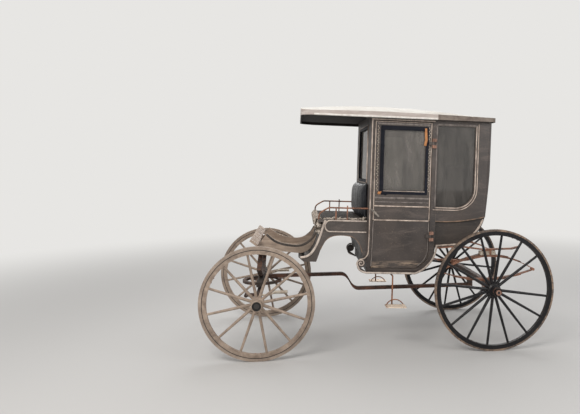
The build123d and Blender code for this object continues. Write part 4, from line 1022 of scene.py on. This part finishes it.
# the moulding round the seat's side panel, open at its rear end
SEAT_PANEL_LINE = [(1.140, 1.089), *arc((1.470, 1.089), (1.509, 1.040), (1.470, 0.991)), (1.140, 0.991)]
RAIL_POST_R = 0.0055
RAIL_POST_TOP = 0.022


def drip_rail(label, hand):
    """White drip rail along one side of the roof, over the door and the driver's seat."""
    beaded(f"drip_rail_{label}", WHITE_TRIM, "body", (DRIP_LINE, flat_side(hand, DRIP_Y), 0.018, 0.008))


def seat_beads(label, hand):
    """Mouldings of the seat's side, the arch's worn edge, the footboard's tape and a rail post's top."""
    face = flat_side(hand, FRONT_HALF)
    beaded(
        f"sweep_bead_{label}", GREY_BEAD, "body",
        (SWEEP_LINE, face, 0.021, 0.010),
        (SEAT_PANEL_LINE, face, 0.013, 0.008),
    )
    arch_edge = smoothed([(s, h + 0.004) for s, h in ARCH[1:-1]])
    beaded(f"seat_edges_{label}", WORN_EDGE, "body", (arch_edge, face, 0.006, 0.002))
    tape = smoothed([(s + 0.004, h - 0.010) for s, h in FOOT_TOP])
    beaded(f"foot_tape_{label}", TAPE, "body", (tape, flat_side(hand, FOOT_HALF), 0.022, 0.003))
    post = [body_point(RAIL_POST_S, hand * RAIL_Y, RAIL_H + rise) for rise in (-0.002, RAIL_POST_TOP)]
    Shape().tube(post, RAIL_POST_R).piece(f"rail_post_top_{label}", RUST, "body")


STUFFING_SEED = 7
# locks that hang over the seat's front edge: s, sway and thickness at their five places
LOCKS = 26
LOCK_HALF_Y = 0.455
LOCK_S = (1.555, 1.585, 1.597, 1.592, 1.590)
LOCK_SWAY = (0.010, 0.015, 0.020, 0.025)
LOCK_SWELL = (1.0, 1.15, 1.0, 0.8, 0.35)
LOCK_SHIFT = 0.008
LOCK_FALL = (0.02, 0.125)
LOCK_WIDTH = (0.009, 0.024)
LOCK_SIDES = 8
# every third lock falls this much of its length
SHORT_LOCK = 0.45
# tufts bundled at the seat's left front corner
TUFTS = 44
TUFT_Y = (0.340, 0.488)
TUFT_H = (0.975, 1.104)
TUFT_SIZE = (0.011, 0.021)
# scraps along the seat's left edge
SCRAPS = 46
SCRAP_S = (1.160, 1.520)
SCRAP_Y = (0.425, 0.482)
SCRAP_SIZE = (0.008, 0.016)


def add_lock(shape, rng, number):
    """One flat lock of stuffing, from the seat's top over its front edge and down."""
    y = -LOCK_HALF_Y + 2 * LOCK_HALF_Y * number / (LOCKS - 1) + rng.uniform(-LOCK_SHIFT, LOCK_SHIFT)
    fall = rng.uniform(*LOCK_FALL) * (1.0 if number % 3 else SHORT_LOCK)
    heights = (1.104, 1.102, 1.080, SEAT_TOP - fall * 0.6, SEAT_TOP - fall)
    sway = (0.0, *(rng.uniform(-reach, reach) for reach in LOCK_SWAY))
    width = rng.uniform(*LOCK_WIDTH)
    rings = []
    for i, s in enumerate(LOCK_S):
        middle = body_point(s, y + sway[i], heights[i])
        size = width * LOCK_SWELL[i]
        thin = UPWARD if i < 2 else FORWARD
        rings.append([
            middle + SIDEWAYS * math.cos(t) * size * 1.5 + thin * math.sin(t) * size * rng.uniform(0.3, 0.6)
            for t in turns(LOCK_SIDES)
        ])
    shape.rings(rings)


def add_tuft(shape, rng, place, size, lean, profile):
    """A small spindle of stuffing that leans at random, its profile in shares of its size."""
    axis = [rng.uniform(-reach, reach) for reach in lean]
    shape.turned(place, axis, [(along * size, radius * size) for along, radius in profile], 7)


def seat_stuffing():
    """Ragged stuffing along the front edge of the driver's seat, most of it at the left corner."""
    rng = random.Random(STUFFING_SEED)
    shape = Shape()
    for number in range(LOCKS):
        add_lock(shape, rng, number)
    tuft = [(-1, 0.3), (-0.5, 0.85), (0.2, 1), (1, 0.35)]
    for _ in range(TUFTS):
        y = -rng.uniform(*TUFT_Y)
        h = rng.uniform(*TUFT_H)
        s = 1.545 + rng.uniform(0.0, 0.034) - 0.12 * max(0.0, 1.03 - h)
        add_tuft(shape, rng, body_point(s, y, h), rng.uniform(*TUFT_SIZE), (1, 1, 1), tuft)
    scrap = [(-2.2, 0.2), (-1, 0.6), (0.6, 0.7), (2.2, 0.25)]
    for _ in range(SCRAPS):
        s = rng.uniform(*SCRAP_S)
        place = body_point(s, -rng.uniform(*SCRAP_Y), SEAT_TOP + 0.003)
        add_tuft(shape, rng, place, rng.uniform(*SCRAP_SIZE), (1, 0.5, 0.25), scrap)
    shape.piece("seat_stuffing", STUFFING, "body")


# Trim of the wheels and springs

# sections: distance out from the wheel's middle, and radius
REAR_NUT_RING = [(0.1078, 0.0115), (0.1087, 0.0120), (0.1087, 0.0225), (0.1078, 0.0230)]
REAR_NUT_BORE = [(0.1080, 0.0122), (0.1086, 0.0116), (0.1086, 0.003)]
REAR_MOUTH = [(0.086, 0.0265), (0.0900, 0.0265), (0.0900, 0.0345), (0.086, 0.0350)]
REAR_BANDS = (
    [(0.065, 0.0342), (0.065, 0.0382), (0.083, 0.0382), (0.083, 0.0342)],
    [(-0.094, 0.0425), (-0.094, 0.0465), (-0.078, 0.0465), (-0.078, 0.0425)],
)
FRONT_JOINTS = (
    [(-0.0160, 0.453), (-0.0138, 0.453), (-0.0138, 0.458), (-0.0160, 0.458)],
    [(0.0138, 0.453), (0.0160, 0.453), (0.0160, 0.458), (0.0138, 0.458)],
)
FRONT_MOUTH = [(0.066, 0.0345), (0.0905, 0.0345), (0.0905, 0.0385), (0.066, 0.0358)]
FRONT_MOUTH_FLOOR = [(0.0836, 0.0335), (0.0862, 0.0325), (0.0866, 0.012)]
FRONT_NUT = [(0.0862, 0.0215), (0.0885, 0.0200), (0.0888, 0.006)]
FRONT_BANDS = (
    [(0.072, 0.0425), (0.072, 0.0460), (0.090, 0.0450), (0.090, 0.0415)],
    [(-0.094, 0.040), (-0.094, 0.0435), (-0.078, 0.0445), (-0.078, 0.040)],
)
NUT_SIDES = 32
BAND_SIDES = 40
RIM_SIDES = 96
# inner radius of the felloes and how many joints they have
REAR_FELLOE = (0.481, 8)
FRONT_FELLOE = (0.420, 6)
BOLT_HEAD = [(-0.002, 0.006), (0.003, 0.006), (0.005, 0.003)]
# angle from a felloe joint to the bolt on either side of it
BOLT_SPREAD = 0.05
SPRING_Y = 0.510
CLIP_REACH = 0.034
CLIP_HALF = 0.0265
CLIP_FOOT = 0.508
CLIP_TOP = 0.606
CLIP_R = 0.0045
PLATE_H = 0.832
PLATE_STEP = 0.052
PLATE_SIZE = (0.032, 0.056, 0.034)


def hub_of(axle, hand):
    """Centre and outward axis of one wheel."""
    return (axle.x, hand * WHEEL_Y, axle.z), (0, hand, 0)


def rear_hub(label, hand):
    """The axle nut's copper-coloured face with its bore as a disc of painted shade, and the hub's mouth in
    painted shade and its iron bands.
    """
    hub, wheel = hub_of(REAR_AXLE, hand), f"wheel_rear_{label}"
    Shape().hoop(*hub, REAR_NUT_RING, NUT_SIDES).piece(f"rear_nut_ring_{label}", HINGE_RUST, "body")
    Shape().turned(*hub, REAR_NUT_BORE).piece(f"rear_nut_bore_{label}", BORE_SHADE_AND_JOINTS, "body")
    Shape().hoop(*hub, REAR_MOUTH, NUT_SIDES).piece(f"rear_hub_mouth_{label}", BORE_SHADE_AND_JOINTS, wheel)
    bands = Shape()
    for section in REAR_BANDS:
        bands.hoop(*hub, section, BAND_SIDES)
    bands.piece(f"rear_hub_bands_{label}", IRON, wheel)


def front_wheel_trim(label, hand):
    """Dark joint between the tyre and its rim, the hub's mouth in painted shade with its nut, and the hub's
    bands.
    """
    hub, wheel = hub_of(FRONT_AXLE, hand), f"wheel_front_{label}"
    dark = Shape()
    for section in FRONT_JOINTS:
        dark.hoop(*hub, section, RIM_SIDES)
    dark.hoop(*hub, FRONT_MOUTH, BAND_SIDES)
    dark.turned(*hub, FRONT_MOUTH_FLOOR)
    dark.piece(f"front_joint_and_mouth_shade_{label}", BORE_SHADE_AND_JOINTS, wheel)
    Shape().turned(*hub, FRONT_NUT).piece(f"front_nut_{label}", INNER, wheel)
    bands = Shape()
    for section in FRONT_BANDS:
        bands.hoop(*hub, section, BAND_SIDES)
    bands.piece(f"front_hub_bands_{label}", BARE, wheel)


def felloe_bolts(end, label, hand, axle, felloe_inner, joints, look):
    """Bolt heads on the felloe's inner side, in pairs beside its joints."""
    centre, _ = hub_of(axle, hand)
    shape = Shape()
    for k in range(joints):
        for shift in (-BOLT_SPREAD, BOLT_SPREAD):
            t = 2 * math.pi * (k + 0.5) / joints + shift
            out = Vector((math.cos(t), 0, math.sin(t)))
            shape.turned(Vector(centre) + out * (felloe_inner + 0.001), -out, BOLT_HEAD, 6)
    shape.piece(f"felloe_bolts_{end}_{label}", look, f"wheel_{end}_{label}")


def spring_clips():
    """U-bolts around each rear spring and the axle bed, and pale clip plates at the spring's top."""
    bolts, plates = Shape(), Shape()
    for hand in HANDS.values():
        y = hand * SPRING_Y
        for shift in (-CLIP_REACH, CLIP_REACH):
            x, low, high = REAR_AXLE.x + shift, y - CLIP_HALF, y + CLIP_HALF
            legs = [(x, low, CLIP_FOOT), (x, low, CLIP_TOP), (x, high, CLIP_TOP), (x, high, CLIP_FOOT)]
            bolts.tube(legs, CLIP_R)
        for shift in (-PLATE_STEP, 0.0, PLATE_STEP):
            plates.box((REAR_AXLE.x + shift, y, PLATE_H), PLATE_SIZE)
    bolts.piece("spring_bolts", RUST, "body")
    plates.piece("spring_plates", OLD_WHITE, "body", smooth=False)


# Soft parts

WELD = 0.00005
CLOTH_PRESSURE = 4.0
CLOTH_QUALITY = 4
CLOTH_FRAMES = 20
# the driver's backrest: the wall and seat that it stops at, where its front starts and is full
BACK_WALL_S = 1.1303
BACK_SEAT_H = 1.0983
BACK_FRONT_S = 1.165
BACK_FRONT_DEPTH = 0.03
# its middle height, half its height and half its width
BACK_MIDDLE_H = 1.264
BACK_HALF_H = 0.166
BACK_HALF_Y = 0.43
# the share of its depth that it loses at its ends, top and foot
BACK_END_LOSS = 0.62
BACK_TOP_LOSS = 0.60
BACK_FOOT_LOSS = 0.42
PLEAT_STEP = 0.143
PLEAT_WIDTH = 0.014
PLEAT_DEPTH = 0.004


def apply_modifiers(piece):
    """The piece's mesh as its modifiers leave it, with no modifier kept."""
    graph = bpy.context.evaluated_depsgraph_get()
    mesh = bpy.data.meshes.new_from_object(piece.evaluated_get(graph))
    piece.modifiers.clear()
    piece.data = mesh


def blow_up(piece, cap):
    """Swell a piece as cloth under pressure, no point further than the cap."""
    before = [v.co.copy() for v in piece.data.vertices]
    cloth = piece.modifiers.new("swell", "CLOTH")
    cloth.settings.use_pressure = True
    cloth.settings.uniform_pressure_force = CLOTH_PRESSURE
    cloth.settings.quality = CLOTH_QUALITY
    cloth.settings.effector_weights.gravity = 0.0
    cloth.collision_settings.use_collision = False
    scene = bpy.context.scene
    for number in range(1, CLOTH_FRAMES + 1):
        scene.frame_set(number)
    apply_modifiers(piece)
    for vertex, rest in zip(piece.data.vertices, before):
        moved = vertex.co - rest
        if moved.length > cap:
            vertex.co = rest + moved * (cap / moved.length)
    scene.frame_set(1)


def swollen(node, name, voxel, shrink, cap):
    """A padded piece from a node's solid: drawn in, remeshed and blown up."""
    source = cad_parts[node]
    mesh = source.data.copy()
    mesh.transform(source.matrix_world)
    piece = bpy.data.objects.new(name, mesh)
    bpy.context.collection.objects.link(piece)
    work = bmesh.new()
    work.from_mesh(mesh)
    bmesh.ops.remove_doubles(work, verts=work.verts, dist=WELD)
    work.normal_update()
    for vertex in work.verts:
        vertex.co -= vertex.normal * shrink
    work.to_mesh(mesh)
    work.free()
    mesh.materials.clear()
    remesh = piece.modifiers.new("even_faces", "REMESH")
    remesh.mode = "VOXEL"
    remesh.voxel_size = voxel
    apply_modifiers(piece)
    blow_up(piece, cap)
    return piece


def finish_pad(piece, look, node):
    """Smooth a padded piece and put it in its node's place."""
    subdivide = piece.modifiers.new("smooth", "SUBSURF")
    subdivide.levels = subdivide.render_levels = 1
    apply_modifiers(piece)
    mesh = piece.data
    mesh.polygons.foreach_set("use_smooth", [True] * len(mesh.polygons))
    mesh.materials.clear()
    mesh.materials.append(look)
    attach(piece, "body")
    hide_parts(node)


def driver_backrest():
    """Leather back cushion with pleats, full in the middle and drawn in at its ends, top and foot."""
    piece = swollen("backrest", "backrest_leather", voxel=0.006, shrink=0.010, cap=0.013)
    for vertex in piece.data.vertices:
        s, h = body_place(vertex.co)
        y = vertex.co.y
        front = max(0.0, min(1.0, (s - BACK_FRONT_S) / BACK_FRONT_DEPTH))
        pleat = math.exp(-((y - PLEAT_STEP * round(y / PLEAT_STEP)) / PLEAT_WIDTH) ** 2)
        upward = (h - BACK_MIDDLE_H) / BACK_HALF_H
        loss = BACK_TOP_LOSS if upward > 0 else BACK_FOOT_LOSS
        full = 1 - BACK_END_LOSS * min(1.0, abs(y) / BACK_HALF_Y) ** 4
        full *= 1 - loss * min(1.0, abs(upward)) ** 4
        depth = (s - front * PLEAT_DEPTH * pleat - BACK_WALL_S) * full
        vertex.co = body_point(BACK_WALL_S + max(depth, 0.0), y, max(h, BACK_SEAT_H))
    finish_pad(piece, LEATHER, "backrest")


def cabin_cushions():
    """Seat and back cushions of the passengers' bench."""
    piece = swollen("bench_cushions", "bench_padding", voxel=0.008, shrink=0.012, cap=0.016)
    finish_pad(piece, CLOTH, "bench_cushions")


bpy.context.scene.view_settings.view_transform = "Standard"
make_camera()
make_world()
make_floor()
make_lamps()
finish_nodes()
for side, sign in HANDS.items():
    cab_beads(side, sign)
    door_beads(side, sign)
    sash(side, sign)
    seat_beads(side, sign)
    rocker_bead(side, sign)
    window_scraps(side, sign)
    rear_hub(side, sign)
    front_wheel_trim(side, sign)
    felloe_bolts("rear", side, sign, REAR_AXLE, *REAR_FELLOE, IRON)
    felloe_bolts("front", side, sign, FRONT_AXLE, *FRONT_FELLOE, RUST)
back_beads()
front_window_frame()
for side, sign in HANDS.items():
    drip_rail(side, sign)
spring_clips()
seat_stuffing()
driver_backrest()
cabin_cushions()
